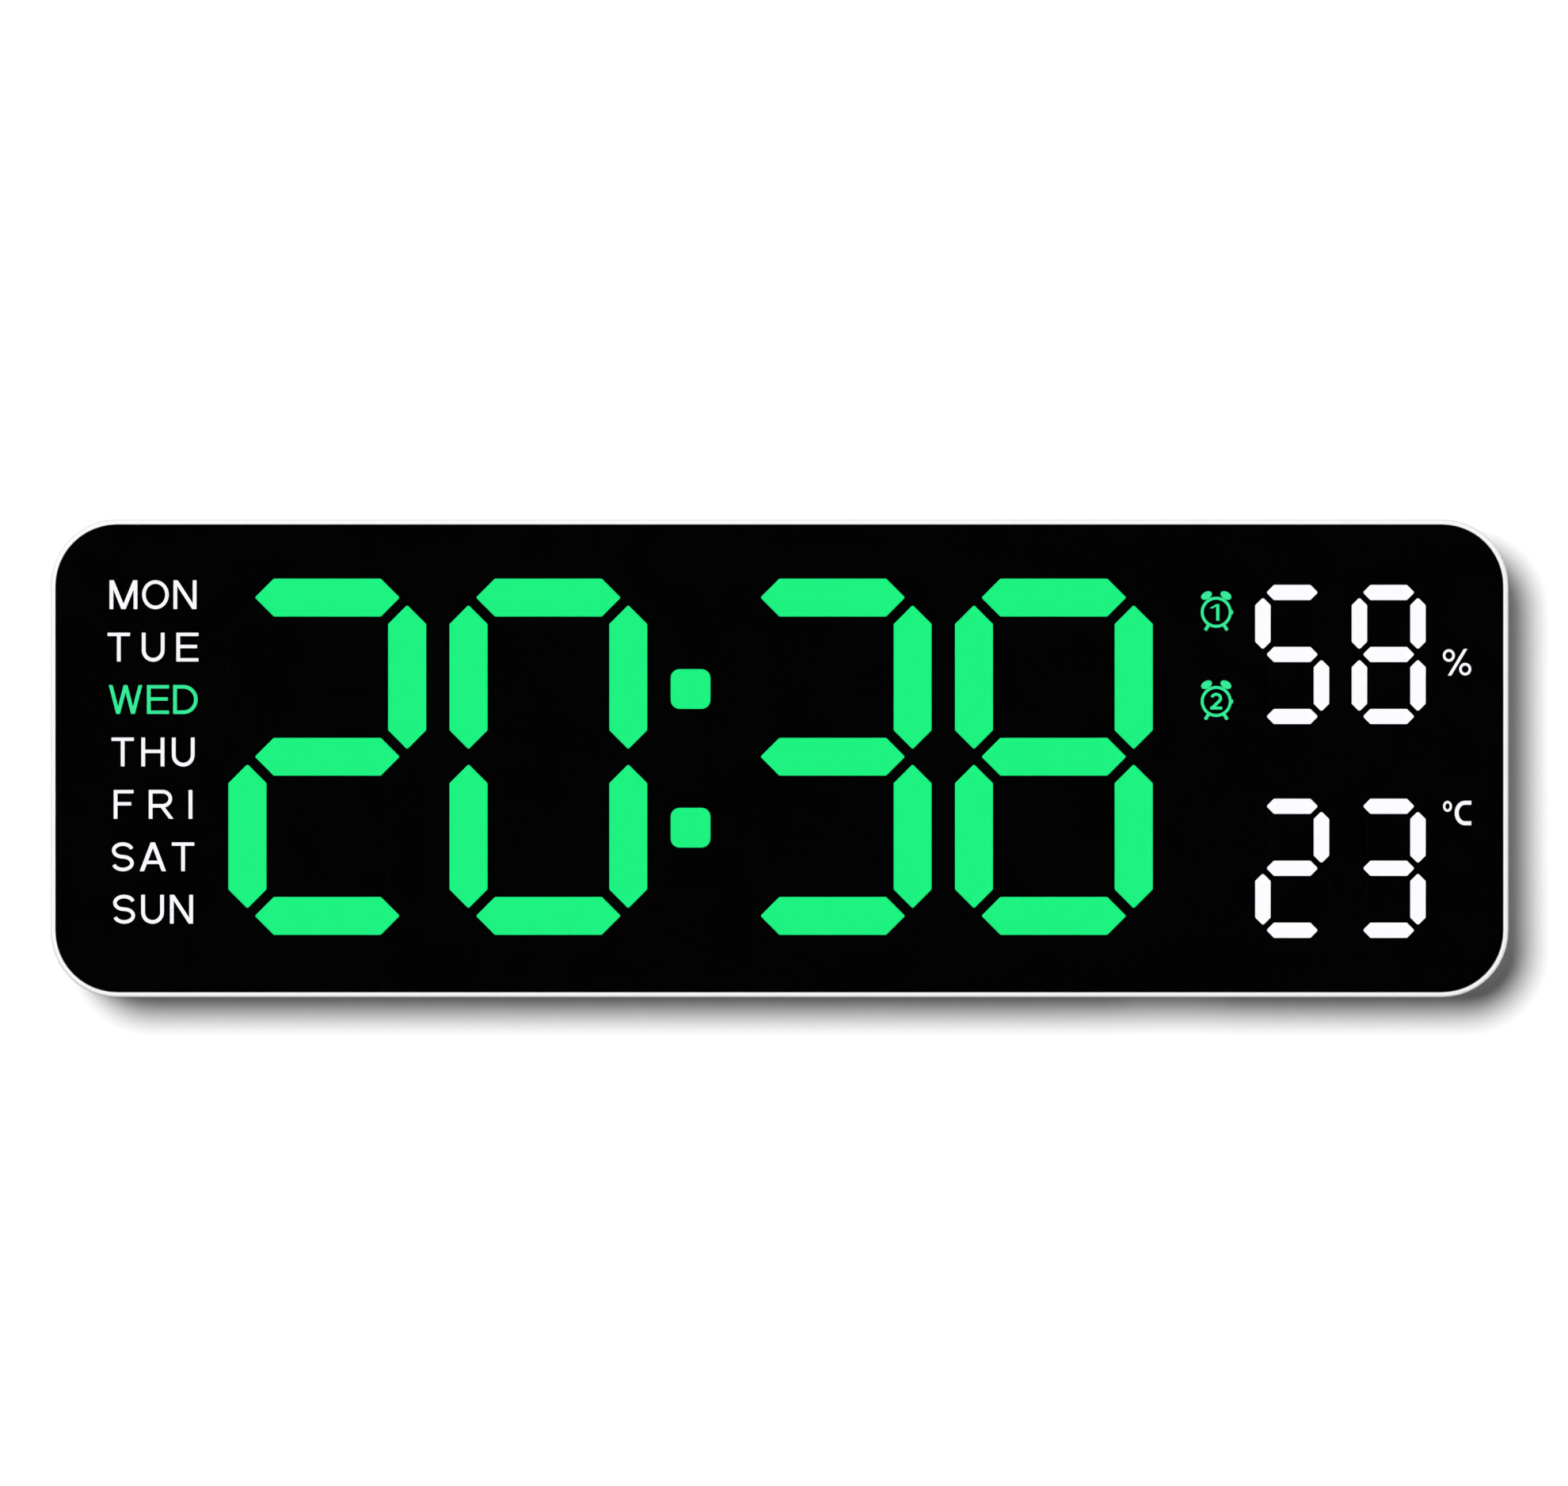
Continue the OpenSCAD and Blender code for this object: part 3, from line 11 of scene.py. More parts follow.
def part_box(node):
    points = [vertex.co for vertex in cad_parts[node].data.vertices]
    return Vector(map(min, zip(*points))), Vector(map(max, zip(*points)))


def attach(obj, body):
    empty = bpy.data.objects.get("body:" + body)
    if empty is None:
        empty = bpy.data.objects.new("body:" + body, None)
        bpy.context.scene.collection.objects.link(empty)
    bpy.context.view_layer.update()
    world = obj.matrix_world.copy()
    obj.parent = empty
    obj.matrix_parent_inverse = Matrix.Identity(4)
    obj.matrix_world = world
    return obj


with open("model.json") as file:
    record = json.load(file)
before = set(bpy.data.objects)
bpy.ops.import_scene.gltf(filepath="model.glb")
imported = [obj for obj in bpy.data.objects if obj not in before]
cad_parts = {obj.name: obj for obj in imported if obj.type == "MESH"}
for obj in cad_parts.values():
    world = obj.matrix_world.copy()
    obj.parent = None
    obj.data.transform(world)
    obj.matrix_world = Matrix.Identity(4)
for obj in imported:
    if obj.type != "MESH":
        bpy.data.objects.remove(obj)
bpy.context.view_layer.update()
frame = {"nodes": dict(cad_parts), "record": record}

MM = 0.001

# Colours, as linear light
WHITE_PLASTIC = (0.87, 0.87, 0.86, 1)
REFLECTOR_WHITE = (0.75, 0.75, 0.73, 1)
# Black of the printed ink, also used on the reflector as painted shade down the walls of its wells
INK_AND_SHADE_BLACK = (0.003, 0.003, 0.003, 1)
LIT_GREEN = (0.009, 0.88, 0.21)
LIT_WHITE = (0.97, 0.97, 0.97)
PRINT_GREEN = (0.035, 0.82, 0.3)
PRINT_WHITE = (0.95, 0.95, 0.95)
LENS_TINT = (0.3, 0.3, 0.31, 1)
LENS_IOR = 1.4
SLEEVE_BLUE = (0.05, 0.11, 0.28, 1)
SLEEVE_PALE = (0.7, 0.7, 0.7, 1)
CELL_METAL = (0.6, 0.6, 0.62, 1)
BOARD_GREEN = (0.01, 0.09, 0.03, 1)
PATCH_GREENS = ((0.012, 0.1, 0.035, 1), (0.014, 0.12, 0.04, 1))
TRACK_GREEN = (0.03, 0.2, 0.07, 1)
WHITE = (1, 1, 1, 1)
BLACK = (0, 0, 0, 1)
# What a lit piece gives out, so that it shows its own colour through the lens
LIT_STRENGTH = 3.08
LIT_VARIES = 0.02

# Moulded pieces: colour and roughness, then the grain's size and depth and the width of an edge
# that catches the light, in millimetres
MOULDED = {
    "case_white": (WHITE_PLASTIC, 0.7, 0.35, 0.006, 0.12),
    "tape_black": ((0.01, 0.01, 0.01, 1), 0.8, 0.2, 0.01, 0),
    "reflector_grey": (REFLECTOR_WHITE, 0.5, 0.35, 0.006, 0.12),
    "led_body": ((0.8, 0.72, 0.35, 1), 0.35, 0.2, 0.003, 0.05),
    "chip_black": ((0.02, 0.02, 0.021, 1), 0.5, 0.15, 0.004, 0.06),
    "button_grey": ((0.55, 0.55, 0.55, 1), 0.4, 0.3, 0.004, 0),
    "socket_cream": ((0.8, 0.74, 0.58, 1), 0.45, 0.3, 0.004, 0.1),
    "lead_red": ((0.45, 0.012, 0.012, 1), 0.5, 0.3, 0.003, 0),
    "lead_black": ((0.012, 0.012, 0.012, 1), 0.5, 0.3, 0.003, 0),
    "rubber_black": ((0.018, 0.018, 0.018, 1), 0.75, 0.25, 0.01, 0),
}
# Metals: colour and roughness, and the size of its patches in millimetres
METALS = {
    "can_silver": ((0.68, 0.68, 0.7, 1), 0.3, 3),
    "bright_metal": ((0.7, 0.7, 0.72, 1), 0.25, 2),
}

# Most of a noise lies in this range
NOISE_RANGE = (0.3, 0.7)
NOISE_DETAIL = 2
PRINCIPLED = "Principled BSDF"

# Depth of the black on the reflector, in millimetres: ink on its face, and painted shade down the
# walls of its wells beside the light guides
INK_AND_SHADE_DEPTH = 3.0

# Battery cells, in millimetres from the middle of a cell
RING_AT = 16
RING_HALF = 1.2
SLEEVE_HALF = 21
CELL_ROWS = 3

# Print behind the lens, in millimetres
PRINT_FRONT = -10.64
PRINT_BACK = -10.585
CAP_H = 4.5
STEM = 0.58
BAR = 0.52
ARC_STEPS = 20
DAY_X = -98.0
DAY_TOP_Z = 62.95
DAY_PITCH = 8.2
# Each weekday and its width
DAY_WORDS = (
    ("MON", 13.6), ("TUE", 14.2), ("WED", 14.0), ("THU", 13.0), ("FRI", 12.3), ("SAT", 12.9),
    ("SUN", 12.5),
)
TODAY = "WED"
LETTER_W = {
    "M": 4.35, "O": 4.2, "N": 3.6, "T": 3.5, "U": 3.55, "E": 3.45, "W": 5.4, "D": 3.85,
    "H": 3.6, "F": 3.1, "R": 3.85, "I": STEM, "S": 3.45, "A": 4.1,
}
ALARM_X = 68.35
ALARM_Z = (60.2, 46.25)
UNIT_X = 106.05
PERCENT_Z = 52.4
DEGREE_Z = 28.8
# Points of the print that lie nearer than this are one point
SAME_POINT = 1e-5

# Marks on the button caps, in millimetres
CAP_FACE = 12.7
MARK_T = 0.03
BUTTON_Z = 41.95
BUTTON_X = {"mode": 41, "alarm": 55, "up": 69, "down": 83}

# Rounded edges of moulded pieces, in millimetres
EDGES = {
    "stand_leg": 0.3, "battery_door": 0.15, "stand_pads": 0.2, "mode_button": 0.25,
    "alarm_button": 0.25, "up_button": 0.25, "down_button": 0.25,
}
EDGE_SEGMENTS = 2
# Faces that meet at a larger angle than this, in degrees, have an edge to round
EDGE_ANGLE = 40
# Points that lie nearer than this are welded before the edges are rounded
WELD = 0.001

# Wall and floor, in metres
WALL_Y = 0.0132
FLOOR_Z = -0.00005
# Half width and front edge of the floor under the clock
UNDER = (0.1, -0.005)
STAGE_SIZE = 12.0
WALL_GREY = 0.35
# Light that the wall keeps in its deepest shadow
WALL_GLOW = 0.008
FLOOR_GREY = 0.7
# The floor's shadow fades to plain white between these distances from the middle of the clock
FADE = (0.076, 0.1)

# The wall's and the floor's own light: power, slope of the shadow, and softness in degrees
WALL_LIGHT = 8.8
FLOOR_LIGHT = 4.0
SHADOW_RIGHT = 0.18
SHADOW_DOWN = 0.138
FLOOR_SLOPE = 0.18
WALL_SOFT = 14.8
FLOOR_SOFT = 50

# Lights and camera, in metres
FLAG_Y = -5.2
FLAG_SIZE = 1.0
CAMERA_AT = (0.00072, -4.1, 0.03975)
CAMERA_LENS = 600
SENSOR_W = 36
AIM = (0, 0, 0.037)
# Each box's place, power and side
BOXES = {
    "key": ((-0.85, -1.5, 0.55), 26.5, 1.0),
    "fill": ((1.2, -1.2, 0.0), 11.5, 1.0),
    "rear_key": ((-0.4, 1.6, 0.45), 16.5, 1.6),
    "rear_fill": ((1.1, 1.2, 0.4), 12, 1.6),
}
AMBIENT = 0.2


# Shader nodes

def set_inputs(n, values):
    """Sets inputs of a shader node by name, with _ for a space."""
    for key, value in values.items():
        n.inputs[key.replace("_", " ")].default_value = value


def principled(name, colour, roughness, **values):
    """A material with one Principled shader."""
    m = bpy.data.materials.new(name)
    m.use_nodes = True
    shader = m.node_tree.nodes[PRINCIPLED]
    set_inputs(shader, {"Base_Color": colour, "Roughness": roughness, **values})
    return m


def socket(m, name):
    """An input of a material's Principled shader."""
    return m.node_tree.nodes[PRINCIPLED].inputs[name]


def node(m, kind, **values):
    """A new shader node, with its inputs set by name."""
    n = m.node_tree.nodes.new(kind)
    set_inputs(n, values)
    return n


def link(m, out, into):
    """Joins an output of one node to an input of another."""
    m.node_tree.links.new(out, into)


def place(m):
    """The point that is shaded, in the object's own frame."""
    return node(m, "ShaderNodeTexCoord").outputs["Object"]


def coordinates(m, point):
    """The three coordinates of a point, by name."""
    split = node(m, "ShaderNodeSeparateXYZ")
    link(m, point, split.inputs["Vector"])
    return split.outputs


def noise(m, size_mm):
    """Noise whose grains have a given size, fixed to the object."""
    n = node(m, "ShaderNodeTexNoise", Scale=1 / (size_mm * MM), Detail=NOISE_DETAIL)
    link(m, place(m), n.inputs["Vector"])
    return n.outputs["Fac"]


def spread(m, value, low, high):
    """Stretches a noise to a range."""
    n = node(m, "ShaderNodeMapRange", From_Min=NOISE_RANGE[0], From_Max=NOISE_RANGE[1],
             To_Min=low, To_Max=high)
    link(m, value, n.inputs["Value"])
    return n.outputs["Result"]


def calc(m, operation, *values):
    """The output of a maths node, from numbers or other outputs."""
    n = node(m, "ShaderNodeMath")
    n.operation = operation
    for i, value in enumerate(values):
        if isinstance(value, (int, float)):
            n.inputs[i].default_value = value
        else:
            link(m, value, n.inputs[i])
    return n.outputs["Value"]


def distance(m, value, middle):
    """How far a coordinate lies from a middle."""
    return calc(m, "ABSOLUTE", calc(m, "SUBTRACT", value, middle))


def mix(m, factor, first, second):
    """A mix of two colours, each written out or taken from another output."""
    n = node(m, "ShaderNodeMix")
    n.data_type = "RGBA"
    link(m, factor, n.inputs[0])
    # A mix node has its two colours at inputs 6 and 7, and their mix at output 2
    for into, value in ((n.inputs[6], first), (n.inputs[7], second)):
        if isinstance(value, tuple):
            into.default_value = value
        else:
            link(m, value, into)
    return n.outputs[2]


def choose(m, factor, first, second):
    """A mix of two shaders."""
    n = node(m, "ShaderNodeMixShader")
    for i, value in enumerate((factor, first, second)):
        link(m, value, n.inputs[i])
    return n.outputs[0]


def texture(m, size_mm, depth_mm, edge_mm=0.0):
    """A surface grain and, with a width given, edges that catch the light."""
    bump = node(m, "ShaderNodeBump", Strength=1.0, Distance=depth_mm * MM)
    link(m, noise(m, size_mm), bump.inputs["Height"])
    if edge_mm:
        edge = node(m, "ShaderNodeBevel", Radius=edge_mm * MM)
        edge.samples = 4
        link(m, edge.outputs["Normal"], bump.inputs["Normal"])
    link(m, bump.outputs["Normal"], socket(m, "Normal"))


def uneven(m, size_mm, low, high):
    """Roughness that varies over the surface."""
    link(m, spread(m, noise(m, size_mm), low, high), socket(m, "Roughness"))


def mottled(m, size_mm, colour, by):
    """A colour that varies a little over the surface."""
    dark = tuple(c * (1 - by) for c in colour[:3]) + (1,)
    tone = mix(m, spread(m, noise(m, size_mm), 0, 1), dark, colour)
    link(m, tone, socket(m, "Base Color"))


# Materials

def moulded(name, colour, roughness, grain_mm, depth_mm, edge_mm):
    """Plastic or rubber from a mould, with a fine grain."""
    m = principled(name, colour, roughness, Specular_IOR_Level=0.2)
    texture(m, grain_mm, depth_mm, edge_mm)
    uneven(m, size_mm=9, low=roughness - 0.02, high=roughness + 0.02)
    mottled(m, size_mm=14, colour=colour, by=0.015)
    return m


def dull_black(name):
    """Matt ink or tinted plastic that shows almost nothing behind the lens."""
    m = principled(name, INK_AND_SHADE_BLACK, roughness=0.7, Specular_IOR_Level=0.1)
    uneven(m, size_mm=6, low=0.6, high=0.8)
    return m


def lit(name, colour):
    """A light guide or print, lit from behind, with a faint grain in its diffuser."""
    m = principled(name, (*colour, 1), roughness=0.4, Emission_Color=(*colour, 1))
    low, high = (1 - LIT_VARIES) * LIT_STRENGTH, (1 + LIT_VARIES) * LIT_STRENGTH
    link(m, spread(m, noise(m, size_mm=0.4), low, high), socket(m, "Emission Strength"))
    return m


def smoked_lens(name):
    """Polished smoked plastic, with the faint wave that moulding leaves in its face."""
    m = principled(name, LENS_TINT, roughness=0.0, IOR=LENS_IOR, Transmission_Weight=1)
    texture(m, size_mm=22, depth_mm=0.004)
    return m


def ink_and_shade_reflector(name):
    """White moulded wells behind a face and seats that are inked black. The same black runs a few
    millimetres down the wells' walls, as painted shade in the gaps beside the light guides.
    """
    m = moulded(name, *MOULDED["reflector_grey"])
    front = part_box("reflector_block")[0].y
    # Black near the front: ink on the face, and painted shade down the wells' walls in the gaps
    # beside the light guides
    ink_and_shade_mask = calc(m, "LESS_THAN", coordinates(m, place(m))["Y"], front + INK_AND_SHADE_DEPTH * MM)
    link(m, mix(m, ink_and_shade_mask, REFLECTOR_WHITE, INK_AND_SHADE_BLACK), socket(m, "Base Color"))
    return m


def metal(name, colour, roughness, grain_mm):
    """Bare metal with brighter and duller patches."""
    m = principled(name, colour, roughness, Metallic=1)
    uneven(m, grain_mm, low=roughness - 0.08, high=roughness + 0.1)
    return m


def circuit_board(name):
    """Solder mask over copper tracks that show as faint lighter lines."""
    m = principled(name, BOARD_GREEN, roughness=0.3)
    tracks = node(m, "ShaderNodeTexBrick", Color1=PATCH_GREENS[0], Color2=PATCH_GREENS[1],
                  Mortar=TRACK_GREEN, Scale=120, Mortar_Size=0.04)
    turn = node(m, "ShaderNodeMapping", Rotation=(math.pi / 2, 0, 0))
    link(m, place(m), turn.inputs["Vector"])
    link(m, turn.outputs["Vector"], tracks.inputs["Vector"])
    link(m, tracks.outputs["Color"], socket(m, "Base Color"))
    uneven(m, size_mm=4, low=0.25, high=0.4)
    return m


def cell_sleeve(name):
    """A plain blue sleeve with a pale ring near the nub, between bare metal ends."""
    low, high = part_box("battery_cells")
    middle = (low + high) / 2
    m = principled(name, SLEEVE_BLUE, roughness=0.3)
    at = coordinates(m, place(m))
    x = calc(m, "SUBTRACT", at["X"], middle.x)
    # The cell in the middle row lies the other way round
    half_row = (high.z - low.z) / (2 * CELL_ROWS)
    turned = calc(m, "LESS_THAN", distance(m, at["Z"], middle.z), half_row)
    way = calc(m, "SUBTRACT", calc(m, "MULTIPLY", turned, 2.0), 1.0)
    along = calc(m, "MULTIPLY", x, way)
    ring = calc(m, "LESS_THAN", distance(m, along, RING_AT * MM), RING_HALF * MM)
    bare = calc(m, "GREATER_THAN", calc(m, "ABSOLUTE", x), SLEEVE_HALF * MM)
    sleeve = mix(m, ring, SLEEVE_BLUE, SLEEVE_PALE)
    link(m, mix(m, bare, sleeve, CELL_METAL), socket(m, "Base Color"))
    link(m, bare, socket(m, "Metallic"))
    uneven(m, size_mm=5, low=0.27, high=0.31)
    return m


def make_materials():
    """One material for each slot of the record, and those of the print and the ink."""
    materials = {name: moulded(name, *look) for name, look in MOULDED.items()}
    materials.update({name: metal(name, *look) for name, look in METALS.items()})
    materials.update({
        "lens_smoke": smoked_lens("lens_smoke"),
        "mask_black": dull_black("mask_black"),
        "reflector_ink_and_shade": ink_and_shade_reflector("reflector_ink_and_shade"),
        "segment_green": lit("segment_green", LIT_GREEN),
        "segment_white": lit("segment_white", LIT_WHITE),
        "print_green": lit("print_green", PRINT_GREEN),
        "print_white": lit("print_white", PRINT_WHITE),
        "segment_dark": dull_black("segment_dark"),
        "board_green": circuit_board("board_green"),
        "cell_wrap": cell_sleeve("cell_wrap"),
    })
    return materials


def dress(materials):
    """Gives each node its slot's material, the reflector its ink and painted shade, and rounds
    moulded edges.
    """
    for part in frame["record"]["subparts"]:
        data = frame["nodes"][part["node"]].data
        data.materials.clear()
        data.materials.append(materials[part["material_slot"]])
    # The reflector gets black ink on its face and painted shade down the walls of its wells
    frame["nodes"]["reflector_block"].data.materials[0] = materials["reflector_ink_and_shade"]
    for name, width in EDGES.items():
        obj = frame["nodes"][name]
        obj.modifiers.new("joined", "WELD").merge_threshold = WELD * MM
        edge = obj.modifiers.new("edges", "BEVEL")
        edge.width = width * MM
        edge.segments = EDGE_SEGMENTS
        edge.limit_method = "ANGLE"
        edge.angle_limit = math.radians(EDGE_ANGLE)
        edge.harden_normals = True


# Flat shapes, as lists of points across and up, in millimetres

def rect(x0, z0, x1, z1):
    """A rectangle between two corners."""
    return [(x0, z0), (x1, z0), (x1, z1), (x0, z1)]


def slant(x0, z0, x1, z1, w):
    """A leaning stroke with level ends, w wide along the level."""
    h = w / 2
    return [(x0 - h, z0), (x0 + h, z0), (x1 + h, z1), (x1 - h, z1)]


def arc(cx, cz, rx, rz, start, end, steps=ARC_STEPS):
    """Points along part of an ellipse, between two angles in degrees."""
    angles = [math.radians(start + (end - start) * i / steps) for i in range(steps + 1)]
    return [(cx + rx * math.cos(a), cz + rz * math.sin(a)) for a in angles]


def round_line(cx, cz, rx, rz):
    """Points all round an ellipse."""
    return arc(cx, cz, rx, rz, 0, 360, 2 * ARC_STEPS)[:-1]


def ribbon(points, w, closed=False):
    """Quads along a line of points, w wide."""
    n = len(points)
    sides = []
    for i, (x, z) in enumerate(points):
        before = points[i - 1] if i or closed else points[i]
        after = points[(i + 1) % n] if i < n - 1 or closed else points[i]
        d = Vector((after[0] - before[0], after[1] - before[1])).normalized()
        sides.append(((x - d.y * w / 2, z + d.x * w / 2), (x + d.y * w / 2, z - d.x * w / 2)))
    quads = []
    for i in range(n if closed else n - 1):
        here, there = sides[i], sides[(i + 1) % n]
        quads.append([here[0], here[1], there[1], there[0]])
    return quads


def ellipse_ring(cx, cz, rx, rz, w):
    """A ring whose line is w wide."""
    return ribbon(round_line(cx, cz, rx, rz), w, closed=True)


def ellipse(cx, cz, rx, rz, turn):
    """A filled ellipse, turned by an angle in degrees."""
    c, s = math.cos(math.radians(turn)), math.sin(math.radians(turn))
    return [(cx + x * c - z * s, cz + x * s + z * c) for x, z in round_line(0, 0, rx, rz)]


def letter(ch, w):
    """Shapes of a plain capital letter, w wide, from its lower left corner."""
    h, s, b = CAP_H, STEM, BAR
    line = (s + b) / 2
    lean = 1.15 * s
    mid = 0.52 * h
    centre, inner = w / 2, (w - s) / 2
    left, right = rect(0, 0, s, h), rect(w - s, 0, w, h)
    top = rect(0, h - b, w, h)
    if ch == "I":
        return [left]
    if ch == "T":
        return [top, rect(centre - s / 2, 0, centre + s / 2, h)]
    if ch == "E":
        arm = 0.94 * w
        return [left, top, rect(0, 0, w, b), rect(0, mid - b / 2, arm, mid + b / 2)]
    if ch == "F":
        arm = 0.88 * w
        return [left, top, rect(0, mid - b / 2, arm, mid + b / 2)]
    if ch == "H":
        return [left, right, rect(0, mid - b / 2, w, mid + b / 2)]
    if ch == "N":
        return [left, right, slant(lean / 2, h, w - lean / 2, 0, lean)]
    if ch == "M":
        return [left, right] + [slant(x, h, centre, 0, lean) for x in (lean / 2, w - lean / 2)]
    if ch == "W":
        tops, feet = (0.07 * w, 0.5 * w, 0.93 * w), (0.285 * w, 0.715 * w)
        strokes = zip((tops[0], tops[1], tops[1], tops[2]), (feet[0], feet[0], feet[1], feet[1]))
        return [slant(t, h, f, 0, s) for t, f in strokes]
    if ch == "A":
        low = 0.25 * h
        sides = [slant(x, 0, centre, h, lean) for x in (lean / 2, w - lean / 2)]
        return sides + [rect(0.22 * w, low, 0.78 * w, low + b)]
    if ch == "O":
        return ellipse_ring(centre, h / 2, inner, (h - b) / 2, line)
    if ch == "U":
        bowl = arc(centre, inner + b / 2, inner, inner, 180, 360)
        return ribbon([(s / 2, h)] + bowl + [(w - s / 2, h)], s)
    if ch == "D":
        bend = 0.42 * w
        bowl = arc(bend, h / 2, w - s / 2 - bend, (h - b) / 2, 90, -90)
        return [left] + ribbon([(0, h - b / 2)] + bowl + [(0, b / 2)], line)
    if ch == "R":
        bend, low, high = 0.56 * w, 0.45 * h, h - b / 2
        bowl = arc(bend, (high + low) / 2, 0.95 * w - s / 2 - bend, (high - low) / 2, 90, -90)
        leg = slant(0.52 * w, low, w - lean / 2, 0, lean)
        return [left] + ribbon([(0, high)] + bowl + [(0, low)], line) + [leg]
    # The one letter left is S
    r = (h - b) / 4
    upper = arc(centre, h - b / 2 - r, inner, r, 15, 270)
    lower = arc(centre, b / 2 + r, inner, r, 90, -165)
    return ribbon(upper + lower[1:], line)


def word_shapes(word, width):
    """Letters spread over the word's width with equal gaps, about the word's middle."""
    gap = (width - sum(LETTER_W[c] for c in word)) / (len(word) - 1)
    shapes, x = [], -width / 2
    for ch in word:
        for shape in letter(ch, LETTER_W[ch]):
            shapes.append([(px + x, pz - CAP_H / 2) for px, pz in shape])
        x += LETTER_W[ch] + gap
    return shapes


def numeral_shapes(number):
    """The figure 1 or 2 of an alarm sign, about the middle of its ring."""
    if number == 1:
        stem, foot, top = 0.48, -1.3, 1.26
        return [rect(0, foot, stem, top), slant(-0.8, 0.62, stem / 2, top, 0.5)]
    line, half, foot = 0.44, 0.92, -1.25
    bow = arc(0, 0.5, 0.68, 0.62, 165, -35) + [(-0.66, -1.02)]
    return ribbon(bow, line) + [rect(-half, foot, half, -0.81)]


def alarm_shapes(number):
    """A twin-bell alarm clock about the middle of its ring, with a number inside."""
    radius, line = 2.2, 0.44
    bell_x, bell_z, bell_radii, bell_turn = 1.52, 2.62, (0.9, 0.58), 30
    foot, foot_w = ((1.2, -2.0), (1.72, -2.82)), 0.5
    knob = rect(2.3, -0.3, 2.62, 0.3)
    shapes = ellipse_ring(0, 0, radius, radius, line)
    for side in (-1, 1):
        shapes.append(ellipse(side * bell_x, bell_z, *bell_radii, -side * bell_turn))
        shapes += ribbon([(side * x, z) for x, z in foot], foot_w)
    return shapes + [knob] + numeral_shapes(number)


def percent_shapes():
    """A percent sign, about its middle."""
    upper, lower = (-1.31, 1.04), (1.25, -1.1)
    radii, line = (0.74, 0.78), 0.4
    stroke = slant(-1.2, -2.1, 1.32, 2.08, 0.54)
    return ellipse_ring(*upper, *radii, line) + ellipse_ring(*lower, *radii, line) + [stroke]


def degree_shapes():
    """A degree sign and a C, about their middle."""
    half, tip = 1.6, 2.2
    c_line = [(tip, half)] + arc(1.2, 0, 1.28, half, 90, 270) + [(tip, -half)]
    return ellipse_ring(-1.52, 1.04, 0.52, 0.67, 0.36) + ribbon(c_line, 0.62)


def mark_shapes(name):
    """The plain mark of a button, about its middle."""
    half, base, tip = 1.3, 0.9, 1.2
    if name == "up":
        return [[(-half, -base), (half, -base), (0, tip)]]
    if name == "down":
        return [[(-half, base), (0, -tip), (half, base)]]
    if name == "mode":
        line = 0.2
        return [rect(-half, z - line, half, z + line) for z in (-base, 0, base)]
    bell = arc(0, 0.1, 0.95, 1.2, 0, 180) + [(-1.35, -0.75), (1.35, -0.75)]
    clapper = rect(-0.35, -1.3, 0.35, -0.95)
    return [bell, clapper]


# Solid pieces from flat shapes

def anticlockwise(shape):
    """The same shape with its points in anticlockwise order."""
    turn = sum(a[0] * b[1] - b[0] * a[1] for a, b in zip(shape, shape[1:] + shape[:1]))
    return shape if turn > 0 else shape[::-1]


def joined(shapes):
    """Points and triangles of the one sheet that overlapping flat shapes cover."""
    points, faces = [], []
    for shape in map(anticlockwise, shapes):
        faces.append(list(range(len(points), len(points) + len(shape))))
        points += [Vector(p) for p in shape]
    points, _, triangles, _, _, sources = delaunay_2d_cdt(points, [], faces, 0, SAME_POINT)
    return points, [t for t, source in zip(triangles, sources) if source]


def solid(name, shapes, x, z, y0, y1):
    """One closed mesh of a flat drawing set at x and z, from one depth to another."""
    flat, triangles = joined(shapes)
    used = sorted({i for t in triangles for i in t})
    index = {old: new for new, old in enumerate(used)}
    front = [[index[i] for i in t] for t in triangles]
    n = len(used)
    points = [((flat[i].x + x) * MM, y * MM, (flat[i].y + z) * MM) for y in (y0, y1) for i in used]
    edges = {(t[i], t[i - 2]) for t in front for i in range(3)}
    rim = sorted((a, b) for a, b in edges if (b, a) not in edges)
    back = [[i + n for i in reversed(t)] for t in front]
    sides = [[a, a + n, b + n, b] for a, b in rim]
    mesh = bpy.data.meshes.new(name)
    mesh.from_pydata(points, [], front + back + sides)
    mesh.validate()
    obj = bpy.data.objects.new(name, mesh)
    bpy.context.scene.collection.objects.link(obj)
    return obj


def print_piece(materials, name, shapes, x, z, tone):
    """One word or sign on the film behind the lens."""
    obj = solid(name, shapes, x, z, PRINT_FRONT, PRINT_BACK)
    obj.data.materials.append(materials["print_" + tone])
    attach(obj, "case")


def print_legends(materials):
    """The weekdays, the two alarm signs and the two units."""
    for i, (word, width) in enumerate(DAY_WORDS):
        tone = "green" if word == TODAY else "white"
        z = DAY_TOP_Z - i * DAY_PITCH
        print_piece(materials, "word_" + word.lower(), word_shapes(word, width), DAY_X, z, tone)
    for i, z in enumerate(ALARM_Z):
        name = f"alarm_sign_{i + 1}"
        print_piece(materials, name, alarm_shapes(i + 1), ALARM_X, z, "green")
    print_piece(materials, "percent_sign", percent_shapes(), UNIT_X, PERCENT_Z, "white")
    print_piece(materials, "degree_sign", degree_shapes(), UNIT_X, DEGREE_Z, "white")


def mark_buttons(materials):
    """A mark on each button's cap, half sunk into it."""
    front, back = CAP_FACE - MARK_T, CAP_FACE + MARK_T
    for name, x in BUTTON_X.items():
        obj = solid(name + "_mark", mark_shapes(name), x, BUTTON_Z, front, back)
        obj.data.materials.append(materials["chip_black"])
        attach(obj, name + "_button")


# Wall, floor, lights and camera

